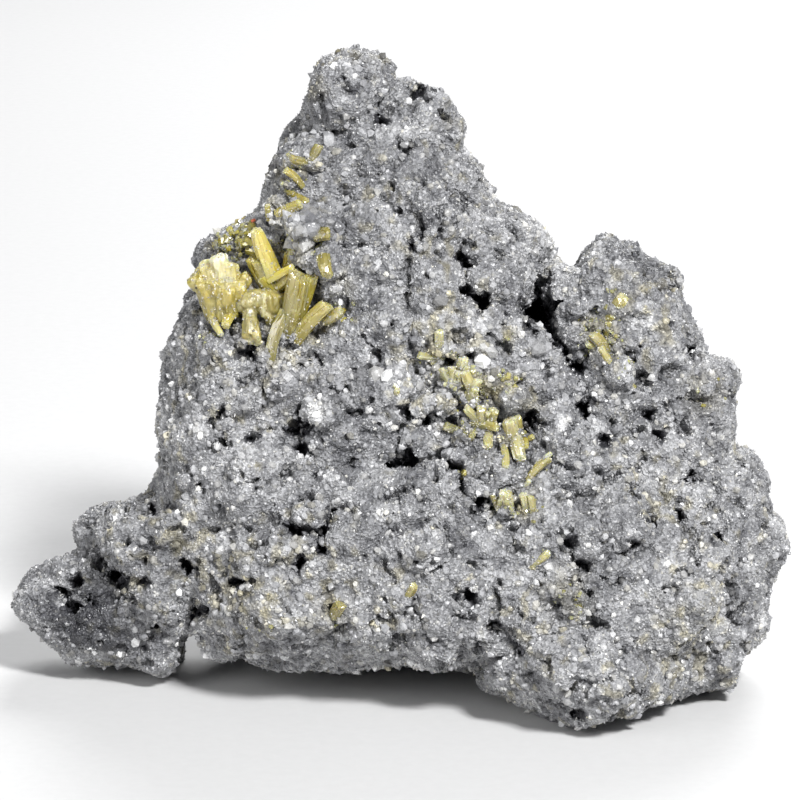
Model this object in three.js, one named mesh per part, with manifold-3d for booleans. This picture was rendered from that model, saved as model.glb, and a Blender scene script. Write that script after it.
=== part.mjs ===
// A mimetite specimen: a lump of sugary drusy quartz with yellow mimetite prisms seated in it.
// Millimetres, +Z up. The lump leans back a little and rests on the low points of its own base.
// The origin is the bottom centre of its box.
//
// Everything is placed in the frame of the broad face: u runs to the right along it, w up it, and
// d straight out of it. specimenPoint() turns a place in that frame into the part's own frame.

import * as THREE from 'three';
import Module from 'manifold-3d';
import { ImprovedNoise } from 'three/addons/math/ImprovedNoise.js';
import { mergeVertices } from 'three/addons/utils/BufferGeometryUtils.js';

const wasm = await Module();
wasm.setup();

// --- Driving dimensions ---------------------------------------------------------------------

const LEAN = THREE.MathUtils.degToRad(14);  // how far the broad face leans back
const BOX_MIDDLE = { x: 0.5, y: 14.3 };     // middle of the leaning lump's box, seen from above
const GRID = 1.15;                          // cell of the grid that the lump is meshed on
const LUMP_TRIANGLES = 6700;                // faces left once flat stretches are merged
const SLIGHT = 1e-3;                        // error that a merge may make where nothing may move
const EDGE_ROUND = 7;                       // width of the rounding along the outline
const EDGE_POWER = 2.3;                     // its section: 2 is an ellipse, more is squarer
const BLEND = 0.5;                          // radius where a hollow or a knob meets the face
const SEAT_GAP = 0.3;                       // clearance between a crystal and its socket
const QUARTZ_POINTS = 110;                  // quartz crystals standing proud of the lump
const QUARTZ_RADIUS = [1.1, 2.1];
const QUARTZ_SLOPE = THREE.MathUtils.degToRad(40);  // of a pyramid face, from the crystal's axis
const SEED = 7;

// The outline of the lump seen square on to its broad face, clockwise from the peak: u, w.
const OUTLINE = [
  [-5.5, 58.1], [-4.1, 58.7], [-1.9, 58.3], [-0.8, 57.0], [-0.7, 55.8], [2.2, 54.9],
  [3.9, 54.3], [4.2, 52.3], [5.6, 51.9], [5.1, 50.2], [6.3, 48.9], [7.1, 46.7],
  [8.0, 45.0], [10.2, 44.0], [12.3, 43.1], [12.9, 42.2], [12.5, 41.0], [13.9, 40.0],
  [15.0, 39.5], [16.2, 41.2], [18.2, 42.2], [20.6, 41.1], [22.1, 40.0], [23.9, 39.5],
  [24.1, 36.8], [25.9, 33.7], [26.3, 31.6], [28.4, 31.2], [28.9, 28.3], [28.5, 24.3],
  [30.4, 23.2], [31.5, 21.3], [31.2, 19.8], [32.6, 17.4], [33.6, 15.6], [32.1, 13.9],
  [31.1, 9.9], [31.5, 8.1], [29.1, 5.9], [28.7, 3.7], [26.4, 3.5], [21.7, 2.0],
  [16.5, 1.0], [15.2, 0.1], [13.0, 1.4], [9.4, 2.5], [7.5, 3.6], [6.5, 5.4],
  [2.1, 5.5], [-1.4, 5.6], [-5.4, 4.9], [-8.2, 4.9], [-11.5, 5.5], [-15.7, 6.3],
  [-16.3, 7.5], [-17.9, 8.8], [-18.7, 7.7], [-19.5, 5.8], [-20.6, 4.7], [-23.0, 5.2],
  [-25.3, 5.1], [-28.9, 6.6], [-32.4, 9.9], [-33.0, 11.3], [-32.4, 12.4], [-30.4, 13.7],
  [-27.7, 15.3], [-27.7, 17.8], [-26.6, 18.7], [-24.1, 20.0], [-22.3, 19.7], [-21.2, 21.3],
  [-20.5, 22.1], [-21.1, 25.5], [-20.6, 29.3], [-20.1, 32.8], [-18.6, 36.3], [-17.2, 38.0],
  [-17.2, 39.1], [-17.0, 41.1], [-16.1, 42.6], [-14.0, 43.4], [-11.8, 44.9], [-11.2, 46.7],
  [-11.0, 48.5], [-9.7, 50.7], [-8.1, 52.0], [-7.5, 54.5], [-6.7, 55.8],
];

// Depth of the lump's front and back at a few places on the face.
const DEPTHS = [
  { name: 'cap', u: -4, w: 56, front: -4, back: -15 },
  { name: 'neck', u: 0, w: 49, front: -2.5, back: -19 },
  { name: 'shoulder', u: 1, w: 41, front: 0, back: -22 },
  { name: 'pocket side', u: -13, w: 38, front: -0.5, back: -19 },
  { name: 'middle', u: 2, w: 26, front: 0.5, back: -26 },
  { name: 'left side', u: -16, w: 25, front: -2.5, back: -23 },
  { name: 'left root', u: -19, w: 14, front: -5, back: -24 },
  { name: 'left foot', u: -27, w: 11, front: -9.5, back: -24 },
  { name: 'lower left', u: -9, w: 12, front: 0, back: -26 },
  { name: 'lower middle', u: 3, w: 9, front: 2, back: -26 },
  { name: 'toe', u: 14.5, w: 2, front: 6, back: -12 },
  { name: 'right lobe', u: 20, w: 36, front: -0.5, back: -19 },
  { name: 'right side', u: 27, w: 24, front: -2, back: -22 },
  { name: 'lower right', u: 28, w: 9, front: -2, back: -22 },
  { name: 'right middle', u: 18, w: 14, front: 2.5, back: -24 },
];

// Hollows cut into the broad face: a path on the face, its half width and its depth.
const HOLLOWS = [
  { name: 'pocket', path: [[-14.4, 38.0], [-9.0, 37.6]], half: 4.7, depth: 4.4 },
  { name: 'pocket mouth', path: [[-18.5, 38.5], [-15.0, 38.2]], half: 2.6, depth: 4.0 },
  { name: 'under the cap', path: [[-0.6, 55.4], [-1.6, 54.0], [-3.9, 52.0]], half: 0.5, depth: 2.4 },
  { name: 'cap crack', path: [[-3.9, 52.0], [-5.6, 51.4]], half: 0.5, depth: 2.4 },
  { name: 'cap cave', path: [[-5.7, 51.4], [-5.2, 51.4]], half: 0.8, depth: 2.5 },
  { name: 'lobe cleft top', path: [[11.9, 38.6], [12.2, 36.0], [13.4, 33.6]], half: 1.1, depth: 9 },
  { name: 'lobe cleft hole', path: [[11.0, 36.0], [12.4, 35.6]], half: 1.5, depth: 10 },
  { name: 'lobe cleft end', path: [[13.4, 33.6], [15.2, 31.1]], half: 0.7, depth: 6 },
  { name: 'crescent', path: [[6.3, 37.0], [7.2, 36.3], [8.0, 36.9]], half: 0.6, depth: 3.4 },
  { name: 'upper pits', path: [[5.2, 40.2], [5.5, 37.6]], half: 0.5, depth: 2.2 },
  { name: 'seam pit', path: [[15.6, 28.2], [15.8, 26.4]], half: 0.8, depth: 3.6 },
  { name: 'seam hollow', path: [[11.1, 27.2], [11.2, 26.0]], half: 0.7, depth: 3 },
  { name: 'seam', path: [[1.5, 31.5], [5.0, 29.3], [9.0, 25.4], [12.0, 22.5]], half: 1.5, depth: 1.7 },
  { name: 'middle recess', path: [[-3.0, 23.2], [2.6, 24.6]], half: 2.6, depth: 1.8 },
  { name: 'middle crescent', path: [[-0.8, 22.4], [0.4, 23.3], [1.3, 22.4]], half: 0.6, depth: 3 },
  { name: 'slant cleft', path: [[4.8, 22.8], [5.4, 20.9], [6.9, 19.6]], half: 0.6, depth: 3 },
  { name: 'upper cleft', path: [[0.4, 27.7], [4.7, 26.4]], half: 0.6, depth: 2.4 },
  { name: 'left slot', path: [[-8.5, 27.2], [-8.4, 24.4]], half: 0.7, depth: 2.6 },
  { name: 'left pits', path: [[-15.2, 27.4], [-12.6, 25.0]], half: 0.5, depth: 1.8 },
  { name: 'pocket drain', path: [[-13.2, 32.6], [-12.6, 32.2]], half: 0.7, depth: 2.4 },
  { name: 'left cleft', path: [[-9.3, 17.4], [-7.0, 17.0], [-5.9, 18.8]], half: 0.6, depth: 2.6 },
  { name: 'low pit left', path: [[-6.8, 15.6], [-6.6, 15.2]], half: 0.6, depth: 2.2 },
  { name: 'ball pit', path: [[-13.5, 12.4], [-12.9, 12.9]], half: 0.8, depth: 1.8 },
  { name: 'low crescent', path: [[-9.3, 14.3], [-8.5, 13.7]], half: 0.6, depth: 2.2 },
  { name: 'knob pit', path: [[5.2, 12.0], [6.4, 11.5]], half: 0.7, depth: 2 },
  { name: 'toe crack', path: [[10.7, 7.1], [6.5, 5.9]], half: 0.5, depth: 2.4 },
  { name: 'low right pits', path: [[14.5, 16.4], [15.7, 14.8]], half: 0.5, depth: 2 },
  { name: 'right pits', path: [[17.3, 24.7], [21.3, 27.2]], half: 0.5, depth: 1.6 },
  { name: 'far right pit', path: [[24.8, 21.8], [24.7, 21.2]], half: 0.8, depth: 2.6 },
  { name: 'right low pits', path: [[21.3, 18.0], [19.7, 16.2]], half: 0.5, depth: 2 },
  { name: 'right edge pit', path: [[26.8, 16.4], [27.0, 16.0]], half: 0.6, depth: 2 },
  { name: 'lobe pits', path: [[20.0, 32.7], [20.2, 32.4]], half: 0.6, depth: 2 },
  { name: 'lobe edge pit', path: [[24.7, 32.7], [24.9, 32.3]], half: 0.7, depth: 2.2 },
  { name: 'foot cleft', path: [[-29.7, 12.2], [-29.2, 10.8], [-27.7, 9.0]], half: 0.6, depth: 3 },
  { name: 'foot hole', path: [[-28.2, 12.4], [-26.7, 10.9]], half: 0.7, depth: 3 },
  { name: 'foot hollow', path: [[-25.9, 14.2], [-24.4, 13.2], [-21.8, 12.6]], half: 0.7, depth: 3 },
  { name: 'foot notch', path: [[-17.9, 9.6], [-18.4, 14.0]], half: 0.6, depth: 3 },
  { name: 'foot slits', path: [[-21.2, 9.2], [-22.2, 7.0]], half: 0.5, depth: 2.4 },
];

// Knobs that stand out of the broad face: place, radius, and how far out they reach.
const KNOBS = [
  { name: 'cap plate', u: -4.3, w: 54.9, radius: 3.4, out: 1.5 },
  { name: 'cap knob', u: -0.5, w: 54.6, radius: 1.5, out: 1.2 },
  { name: 'shoulder knob', u: 2.7, w: 53.4, radius: 1.6, out: 0.8 },
  { name: 'edge block', u: 4.6, w: 51.4, radius: 1.4, out: 0.8 },
  { name: 'pocket brow', u: -7.2, w: 42.3, radius: 2.4, out: 1.6 },
  { name: 'cleft knob', u: 7.6, w: 36.2, radius: 1.1, out: 0.9 },
  { name: 'lobe brow', u: 17.6, w: 38.0, radius: 3.0, out: 1.2 },
  { name: 'white crystal', u: -7.0, w: 27.3, radius: 1.3, out: 1.2 },
  { name: 'left nodule', u: -14.1, w: 26.9, radius: 0.9, out: 0.8 },
  { name: 'middle knob', u: -1.2, w: 21.7, radius: 1.3, out: 0.5 },
  { name: 'left lump', u: -12.0, w: 20.5, radius: 4.0, out: 1.0 },
  { name: 'pit knob', u: 6.2, w: 11.8, radius: 0.8, out: 0.3 },
  { name: 'right swell', u: 22.0, w: 12.0, radius: 5.5, out: 1.2 },
  { name: 'lobe swell', u: 21.2, w: 35.0, radius: 2.9, out: 0.8 },
  { name: 'foot bulge', u: -23.0, w: 15.5, radius: 2.6, out: 1.0 },
  { name: 'foot finger', u: -24.0, w: 19.0, radius: 1.2, out: 0.6 },
];

// The heel behind the lower edge, which the lump leans back on: centre and half sizes.
const HEEL = { u: -1, w: 11, d: -23, half: [14, 6.5, 6] };

const BEVELLED_WIDTH = 1.2;                 // crystals from this width on have a bevelled end

const MATRIX = { color: 0x959594, roughness: 0.55, metalness: 0 };
const MIMETITE = { color: 0xd9c25a, roughness: 0.25, metalness: 0 };

// The crystals of each mimetite group: base and tip as u, w, d, and the width across the prism.
// Those of one bundle share a socket.
const CRYSTALS = {
  mimetite_pocket_cluster: [
    { bundle: 'upright', base: [-10.9, 37.9, -5.2], tip: [-12.4, 43.0, -0.4], width: 1.5 },
    { bundle: 'upright', base: [-10.6, 37.2, -5.2], tip: [-12.9, 40.7, -0.2], width: 1.4 },
    { bundle: 'upright', base: [-10.5, 38.0, -5.0], tip: [-9.1, 39.8, -0.6], width: 1.0 },
    { bundle: 'left', base: [-13.2, 37.2, -5.2], tip: [-16.4, 40.9, -1.2], width: 2.2 },
    { bundle: 'left', base: [-12.8, 37.2, -5.2], tip: [-17.8, 39.0, -1.6], width: 2.1 },
    { bundle: 'left', base: [-12.8, 36.8, -5.2], tip: [-17.4, 36.6, -1.3], width: 2.0 },
    { bundle: 'left', base: [-12.8, 36.9, -5.2], tip: [-15.4, 35.4, -0.8], width: 2.1 },
    { bundle: 'left', base: [-12.9, 37.6, -5.2], tip: [-14.4, 40.3, -0.6], width: 1.9 },
    { bundle: 'left', base: [-12.3, 36.6, -5.2], tip: [-13.2, 37.4, -0.6], width: 1.8 },
    { bundle: 'left', base: [-11.4, 36.8, -5.2], tip: [-11.4, 37.0, -0.4], width: 1.7 },
    { bundle: 'left', base: [-11.6, 35.6, -5.4], tip: [-12.7, 34.0, -0.6], width: 1.5 },
    { bundle: 'right', base: [-11.2, 34.0, -4.8], tip: [-7.6, 39.3, 0.3], width: 1.9 },
    { bundle: 'right', base: [-11.7, 32.0, -3.7], tip: [-9.3, 36.3, -1.4], width: 1.3 },
    { bundle: 'right', base: [-9.0, 33.2, -3.6], tip: [-5.4, 36.4, 0.4], width: 1.4 },
    { bundle: 'right', base: [-10.0, 34.6, -4.0], tip: [-6.2, 35.0, 0.0], width: 1.2 },
  ],
  mimetite_above_pocket: [
    { base: [-9.9, 44.2, -2.6], tip: [-8.0, 44.8, 0.3], width: 0.8 },
    { base: [-9.7, 44.0, -2.6], tip: [-10.8, 45.3, 0.0], width: 0.7 },
    { base: [-9.6, 44.2, -2.6], tip: [-8.4, 45.9, 0.2], width: 0.8 },
  ],
  mimetite_beside_pocket: [
    { base: [-5.9, 39.8, -1.8], tip: [-5.3, 40.2, 1.3], width: 1.0 },
    { base: [-5.9, 39.9, -1.8], tip: [-6.2, 40.9, 1.2], width: 0.9 },
  ],
  mimetite_near_peak: [
    { base: [-7.8, 48.7, -4.4], tip: [-9.4, 48.9, -1.4], width: 0.7 },
    { base: [-7.9, 48.8, -4.4], tip: [-6.8, 49.7, -1.2], width: 0.8 },
  ],
  mimetite_peak_blade: [
    { base: [-8.2, 46.4, -3.8], tip: [-9.9, 47.9, -1.5], width: 0.7 },
  ],
  mimetite_seam_top: [
    { base: [1.8, 31.6, -2.6], tip: [3.2, 32.2, 0.6], width: 0.7 },
  ],
  mimetite_seam_chip: [
    { base: [3.0, 33.4, -1.6], tip: [3.8, 33.9, 1.0], width: 0.6 },
  ],
  mimetite_seam_fan: [
    { base: [4.6, 28.8, -3.4], tip: [3.1, 30.8, -0.2], width: 1.0 },
    { base: [4.7, 28.9, -3.4], tip: [4.6, 31.0, 0.0], width: 0.9 },
    { base: [5.2, 29.4, -3.4], tip: [6.0, 31.4, 0.2], width: 0.9 },
    { base: [5.4, 28.8, -3.4], tip: [6.8, 29.4, 0.2], width: 1.0 },
  ],
  mimetite_seam_sheaf: [
    { base: [6.4, 26.0, -3.6], tip: [5.3, 27.7, -0.3], width: 1.0 },
    { base: [6.6, 26.0, -3.6], tip: [6.9, 28.0, 0.0], width: 1.0 },
    { base: [6.8, 26.0, -3.6], tip: [8.2, 27.2, 0.1], width: 1.0 },
    { base: [6.8, 25.8, -3.6], tip: [8.0, 25.4, 0.2], width: 1.0 },
    { bundle: 'lying', base: [6.2, 25.8, -3.6], tip: [4.3, 26.0, -0.8], width: 0.8 },
  ],
  mimetite_seam_blocks: [
    { base: [9.6, 25.2, -3.6], tip: [9.2, 26.5, 0.6], width: 1.5 },
    { base: [9.8, 25.0, -3.6], tip: [10.3, 25.4, 0.8], width: 1.5 },
    { base: [9.9, 24.4, -3.6], tip: [10.2, 23.7, 0.6], width: 1.2 },
  ],
  mimetite_seam_stub: [
    { base: [8.6, 22.8, -2.2], tip: [8.9, 23.3, 0.8], width: 0.8 },
  ],
  mimetite_seam_blade: [
    { base: [10.6, 21.2, -2.4], tip: [12.9, 23.8, 0.6], width: 0.8 },
  ],
  mimetite_seam_foot: [
    { base: [8.7, 19.3, -1.8], tip: [9.6, 20.3, 1.3], width: 0.9 },
    { base: [8.4, 19.2, -1.8], tip: [7.9, 20.4, 1.2], width: 0.7 },
  ],
  mimetite_seam_pair: [
    { base: [11.0, 18.9, -1.4], tip: [10.2, 20.6, 1.6], width: 0.6 },
    { base: [11.1, 18.8, -1.4], tip: [11.6, 20.8, 1.6], width: 0.6 },
  ],
  mimetite_middle_chip: [
    { base: [-0.5, 28.5, -1.4], tip: [-0.3, 29.1, 1.5], width: 0.6 },
  ],
  mimetite_lobe_block: [
    { base: [18.1, 36.1, -1.8], tip: [19.0, 37.1, 1.2], width: 1.1 },
  ],
  mimetite_lobe_sheaf: [
    { base: [17.4, 33.2, -2.4], tip: [16.4, 34.6, 0.6], width: 0.9 },
    { base: [17.6, 33.2, -2.4], tip: [17.9, 35.3, 0.7], width: 0.8 },
    { base: [17.2, 32.8, -2.4], tip: [15.9, 33.1, 0.3], width: 0.8 },
  ],
  mimetite_lobe_needle: [
    { base: [20.3, 28.6, -1.3], tip: [17.5, 32.0, 1.6], width: 0.7 },
  ],
  mimetite_low_left_block: [
    { base: [-5.4, 10.4, -1.4], tip: [-5.0, 10.8, 1.6], width: 1.3 },
  ],
  mimetite_low_middle_chip: [
    { base: [0.7, 11.8, -0.4], tip: [1.0, 12.2, 2.6], width: 0.9 },
  ],
  mimetite_low_right_prism: [
    { base: [11.0, 14.5, 0.2], tip: [12.8, 15.2, 2.8], width: 0.7 },
  ],
  mimetite_low_right_blade: [
    { base: [13.2, 11.8, 0.6], tip: [15.8, 10.7, 3.4], width: 0.7 },
  ],
};

// --- The frame of the broad face ------------------------------------------------------------

const UP_FACE = new THREE.Vector3(0, Math.sin(LEAN), Math.cos(LEAN));
const OUT_OF_FACE = new THREE.Vector3(0, -Math.cos(LEAN), Math.sin(LEAN));

function specimenPoint([u, w, d]) {
  return new THREE.Vector3(u, 0, 0).addScaledVector(UP_FACE, w).addScaledVector(OUT_OF_FACE, d);
}

// A repeatable stream of numbers from 0 to 1.
function randomStream(seed) {
  let state = seed;
  return () => {
    state = (Math.imul(state, 1664525) + 1013904223) >>> 0;
    return state / 2 ** 32;
  };
}

// --- The shape of the lump, as a field that is negative inside it ----------------------------

const quartz = [];

function distanceToSegment(u, w, [u0, w0], [u1, w1]) {
  const along = ((u - u0) * (u1 - u0) + (w - w0) * (w1 - w0)) / ((u1 - u0) ** 2 + (w1 - w0) ** 2);
  const t = THREE.MathUtils.clamp(along, 0, 1);
  return Math.hypot(u - u0 - t * (u1 - u0), w - w0 - t * (w1 - w0));
}

// How far inside the outline a place on the face is; negative outside it.
function insideOutline(u, w) {
  let nearest = Infinity;
  let inside = false;
  for (let i = 0; i < OUTLINE.length; i += 1) {
    const a = OUTLINE[i];
    const b = OUTLINE[(i + 1) % OUTLINE.length];
    nearest = Math.min(nearest, distanceToSegment(u, w, a, b));
    const crosses = a[1] > w !== b[1] > w;
    if (crosses && u < a[0] + ((w - a[1]) * (b[0] - a[0])) / (b[1] - a[1])) inside = !inside;
  }
  return inside ? nearest : -nearest;
}

// The lump's middle depth and half thickness, blended from the places in DEPTHS.
function slabAt(u, w) {
  let total = 0;
  let front = 0;
  let back = 0;
  for (const place of DEPTHS) {
    const weight = 1 / ((u - place.u) ** 2 + (w - place.w) ** 2 + 9) ** 2;
    total += weight;
    front += weight * place.front;
    back += weight * place.back;
  }
  return { middle: (front + back) / total / 2, half: (front - back) / total / 2 };
}

// Everything about one place on the face that doesn't change with depth.
function columnAt(u, w) {
  const edge = insideOutline(u, w);
  const slab = slabAt(u, w);
  const rim = Math.max(0, 1 - edge / EDGE_ROUND);
  const round = Math.max(0, 1 - rim ** EDGE_POWER) ** (1 / EDGE_POWER);
  const face = slab.middle + slab.half * round;
  const hollows = HOLLOWS.map((hollow) => {
    let away = Infinity;
    for (let i = 1; i < hollow.path.length; i += 1) {
      away = Math.min(away, distanceToSegment(u, w, hollow.path[i - 1], hollow.path[i]));
    }
    return { away, half: hollow.half, depth: hollow.depth };
  }).filter(({ away, half }) => away < half + 3 * BLEND + GRID);
  const crystals = quartz.filter(({ seat, size }) => Math.hypot(u - seat.x, w - seat.y) < 2 * size);
  return { u, w, edge, rim, face, hollows, crystals, ...slab };
}

const noise = new ImprovedNoise();

// Rounded lumps with sharp valleys between them, at two sizes, over a broad swell. All of it is
// low along the outline itself, so that the outline keeps its shape.
function relief(column, d) {
  const { u, w, edge, middle, half } = column;
  const coarse = Math.abs(noise.noise(u / 6.2, w / 6.2, d / 6.2 + 3.1)) - 0.22;
  const fine = Math.abs(noise.noise(u / 2.9 + 7.7, w / 2.9, d / 2.9)) - 0.22;
  const swell = noise.noise(u / 13 + 1.3, w / 13, d / 11);
  const inland = THREE.MathUtils.smoothstep(edge, -1, 4);
  const offEdge = THREE.MathUtils.smoothstep(Math.abs(d - middle) / half, 0.15, 0.6);
  const calm = Math.max(inland, offEdge);
  const broad = inland + 1.6 * offEdge * (1 - inland);
  return (0.3 + 0.7 * calm) * (2.3 * coarse + 1.2 * fine) + broad * 1.5 * swell;
}

function smoothUnion(a, b, radius) {
  const overlap = Math.max(radius - Math.abs(a - b), 0);
  return Math.min(a, b) - (overlap * overlap) / (4 * radius);
}

function smoothCut(a, b, radius) {
  return -smoothUnion(-a, b, radius);
}

function lumpField(column, d) {
  const { u, w, rim, middle, half, face, hollows, crystals } = column;
  const across = Math.abs(d - middle) / half;
  const shell = (rim ** EDGE_POWER + across ** EDGE_POWER) ** (1 / EDGE_POWER) - 1;
  const scale = (EDGE_ROUND * rim + half * across) / (rim + across + 1e-6);
  let field = shell * scale - relief(column, d);
  for (const knob of KNOBS) {
    const centre = knob.face + knob.out - knob.radius;
    const away = Math.hypot(u - knob.u, w - knob.w, d - centre) - knob.radius;
    if (away < 3) field = smoothUnion(field, away, BLEND);
  }
  const heel = Math.hypot(
    (u - HEEL.u) / HEEL.half[0], (w - HEEL.w) / HEEL.half[1], (d - HEEL.d) / HEEL.half[2]);
  field = smoothUnion(field, (heel - 1) * HEEL.half[2], 2);
  for (const hollow of hollows) {
    const down = THREE.MathUtils.clamp((face - d) / hollow.depth, 0, 1);
    const wall = hollow.away - hollow.half * (1 - 0.45 * down);
    const floor = face - hollow.depth - d;
    field = smoothCut(field, Math.max(wall, floor), BLEND);
  }
  for (const crystal of crystals) field = Math.min(field, quartzField(crystal, u, w, d));
  return field;
}

// A quartz crystal: six faces meeting in a point, over a six-sided prism.
function quartzField({ seat, axis, sides, size, height }, u, w, d) {
  const from = new THREE.Vector3(u, w, d).sub(seat);
  const up = from.dot(axis);
  const out = Math.max(...sides.map((side) => side.dot(from)));
  const pyramid = out * Math.cos(QUARTZ_SLOPE) + (up - height) * Math.sin(QUARTZ_SLOPE);
  return Math.max(out - size, pyramid, -up - size);
}

for (const knob of KNOBS) knob.face = columnAt(knob.u, knob.w).face;

// The depth of the surface at a place: stepping in from the front, or from the back.
function surfaceDepth(u, w, fromFront) {
  const column = columnAt(u, w);
  const step = fromFront ? -0.1 : 0.1;
  let d = fromFront ? 9 : -33;
  while (Math.abs(d) < 34 && lumpField(column, d) > 0) d += step;
  return d;
}

// Places the quartz crystals: on the front and the back, each pointing more or less straight out.
function seatQuartz() {
  const random = randomStream(SEED);
  const between = (low, high) => low + (high - low) * random();
  const seated = [];
  while (seated.length < QUARTZ_POINTS) {
    const u = between(-33, 34);
    const w = between(1, 58);
    const size = between(...QUARTZ_RADIUS);
    const fromFront = random() < 0.6;
    const lean = [between(-0.6, 0.6), between(-0.6, 0.6)];
    const spin = between(0, Math.PI / 3);
    if (insideOutline(u, w) < 1.2 * size) continue;
    const d = surfaceDepth(u, w, fromFront);
    const reach = 0.6;
    const slopeAlong = (du, dw) => (surfaceDepth(u + du * reach, w + dw * reach, fromFront)
      - surfaceDepth(u - du * reach, w - dw * reach, fromFront)) / (2 * reach);
    const slope = [slopeAlong(1, 0), slopeAlong(0, 1)];
    if (Math.hypot(...slope) > 1.5) continue;
    const outward = fromFront ? 1 : -1;
    const axis = new THREE.Vector3(-slope[0] + lean[0], -slope[1] + lean[1], 1)
      .multiplyScalar(outward).normalize();
    const across = new THREE.Vector3(1, 0.3, 0).cross(axis).normalize().applyAxisAngle(axis, spin);
    const sides = [0, 1, 2, 3, 4, 5].map((side) => {
      return across.clone().applyAxisAngle(axis, (side * Math.PI) / 3);
    });
    const seat = new THREE.Vector3(u, w, d).addScaledVector(axis, -0.35 * size);
    seated.push({ seat, axis, sides, size: 0.75 * size, height: 1.45 * size });
  }
  return seated;
}

quartz.push(...seatQuartz());

// --- Meshing the field ----------------------------------------------------------------------

// Six tetrahedra fill a grid cell; corner numbers have 1 for +u, 2 for +w and 4 for +d.
const CELL_TETRAHEDRA = [
  [0, 1, 3, 7], [0, 3, 2, 7], [0, 2, 6, 7], [0, 6, 4, 7], [0, 4, 5, 7], [0, 5, 1, 7],
];

// The closed surface where the field is zero, as points [u, w, d] and triangles of point numbers.
function meshField(low, high) {
  const count = low.map((value, axis) => Math.ceil((high[axis] - value) / GRID) + 1);
  const nodeOf = (i, j, k) => (i * count[1] + j) * count[2] + k;
  const at = (axis, index) => low[axis] + index * GRID;
  const values = new Float64Array(count[0] * count[1] * count[2]);
  for (let i = 0; i < count[0]; i += 1) {
    for (let j = 0; j < count[1]; j += 1) {
      const column = columnAt(at(0, i), at(1, j));
      for (let k = 0; k < count[2]; k += 1) values[nodeOf(i, j, k)] = lumpField(column, at(2, k));
    }
  }
  const points = [];
  const triangles = [];
  const pointOnEdge = new Map();

  function crossing(inner, outer) {
    const key = Math.min(inner.node, outer.node) * 8 + Math.abs(inner.corner - outer.corner);
    if (!pointOnEdge.has(key)) {
      const t = THREE.MathUtils.clamp(inner.value / (inner.value - outer.value), 0.06, 0.94);
      pointOnEdge.set(key, points.length);
      points.push(inner.place.map((value, axis) => value + t * (outer.place[axis] - value)));
    }
    return pointOnEdge.get(key);
  }

  function addTriangle(a, b, c, inner, outer) {
    const [p, q, r] = [a, b, c].map((index) => new THREE.Vector3(...points[index]));
    const normal = q.clone().sub(p).cross(r.clone().sub(p));
    const outward = new THREE.Vector3(...outer.place).sub(new THREE.Vector3(...inner.place));
    triangles.push(normal.dot(outward) > 0 ? [a, b, c] : [a, c, b]);
  }

  for (let i = 0; i < count[0] - 1; i += 1) {
    for (let j = 0; j < count[1] - 1; j += 1) {
      for (let k = 0; k < count[2] - 1; k += 1) {
        const corners = [];
        for (let corner = 0; corner < 8; corner += 1) {
          const [a, b, c] = [i + (corner & 1), j + ((corner >> 1) & 1), k + (corner >> 2)];
          const node = nodeOf(a, b, c);
          corners.push({ corner, node, value: values[node], place: [at(0, a), at(1, b), at(2, c)] });
        }
        const insideCorners = corners.filter(({ value }) => value < 0).length;
        if (insideCorners === 0 || insideCorners === 8) continue;
        for (const tetrahedron of CELL_TETRAHEDRA) {
          const inner = tetrahedron.map((c) => corners[c]).filter(({ value }) => value < 0);
          const outer = tetrahedron.map((c) => corners[c]).filter(({ value }) => value >= 0);
          if (inner.length === 1) {
            const [a, b, c] = outer.map((corner) => crossing(inner[0], corner));
            addTriangle(a, b, c, inner[0], outer[0]);
          } else if (inner.length === 3) {
            const [a, b, c] = inner.map((corner) => crossing(corner, outer[0]));
            addTriangle(a, b, c, inner[0], outer[0]);
          } else if (inner.length === 2) {
            const a = crossing(inner[0], outer[0]);
            const b = crossing(inner[0], outer[1]);
            const c = crossing(inner[1], outer[1]);
            const e = crossing(inner[1], outer[0]);
            addTriangle(a, b, c, inner[0], outer[0]);
            addTriangle(a, c, e, inner[0], outer[0]);
          }
        }
      }
    }
  }
  return { points, triangles };
}

// The largest connected body of a mesh, without the loose crumbs.
function largestBody({ points, triangles }) {
  const parent = points.map((_, index) => index);
  const rootOf = (index) => {
    let root = index;
    while (parent[root] !== root) root = parent[root];
    parent[index] = root;
    return root;
  };
  for (const [a, b, c] of triangles) {
    parent[rootOf(b)] = rootOf(a);
    parent[rootOf(c)] = rootOf(a);
  }
  const sizes = new Map();
  for (const [a] of triangles) sizes.set(rootOf(a), (sizes.get(rootOf(a)) ?? 0) + 1);
  const largest = [...sizes].sort((a, b) => b[1] - a[1])[0][0];
  return { points, triangles: triangles.filter(([a]) => rootOf(a) === largest) };
}

// --- Merging flat stretches into larger faces -------------------------------------------------

// The quadric of a plane, as the upper half of a 4 by 4 matrix.
function planeQuadric(p, q, r) {
  const normal = q.clone().sub(p).cross(r.clone().sub(p));
  const area = normal.length() / 2;
  normal.normalize();
  const [a, b, c, d] = [normal.x, normal.y, normal.z, -normal.dot(p)];
  return [a * a, a * b, a * c, a * d, b * b, b * c, b * d, c * c, c * d, d * d].map((v) => v * area);
}

function quadricError(q, { x, y, z }) {
  return q[0] * x * x + 2 * q[1] * x * y + 2 * q[2] * x * z + 2 * q[3] * x
    + q[4] * y * y + 2 * q[5] * y * z + 2 * q[6] * y
    + q[7] * z * z + 2 * q[8] * z + q[9];
}

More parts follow.
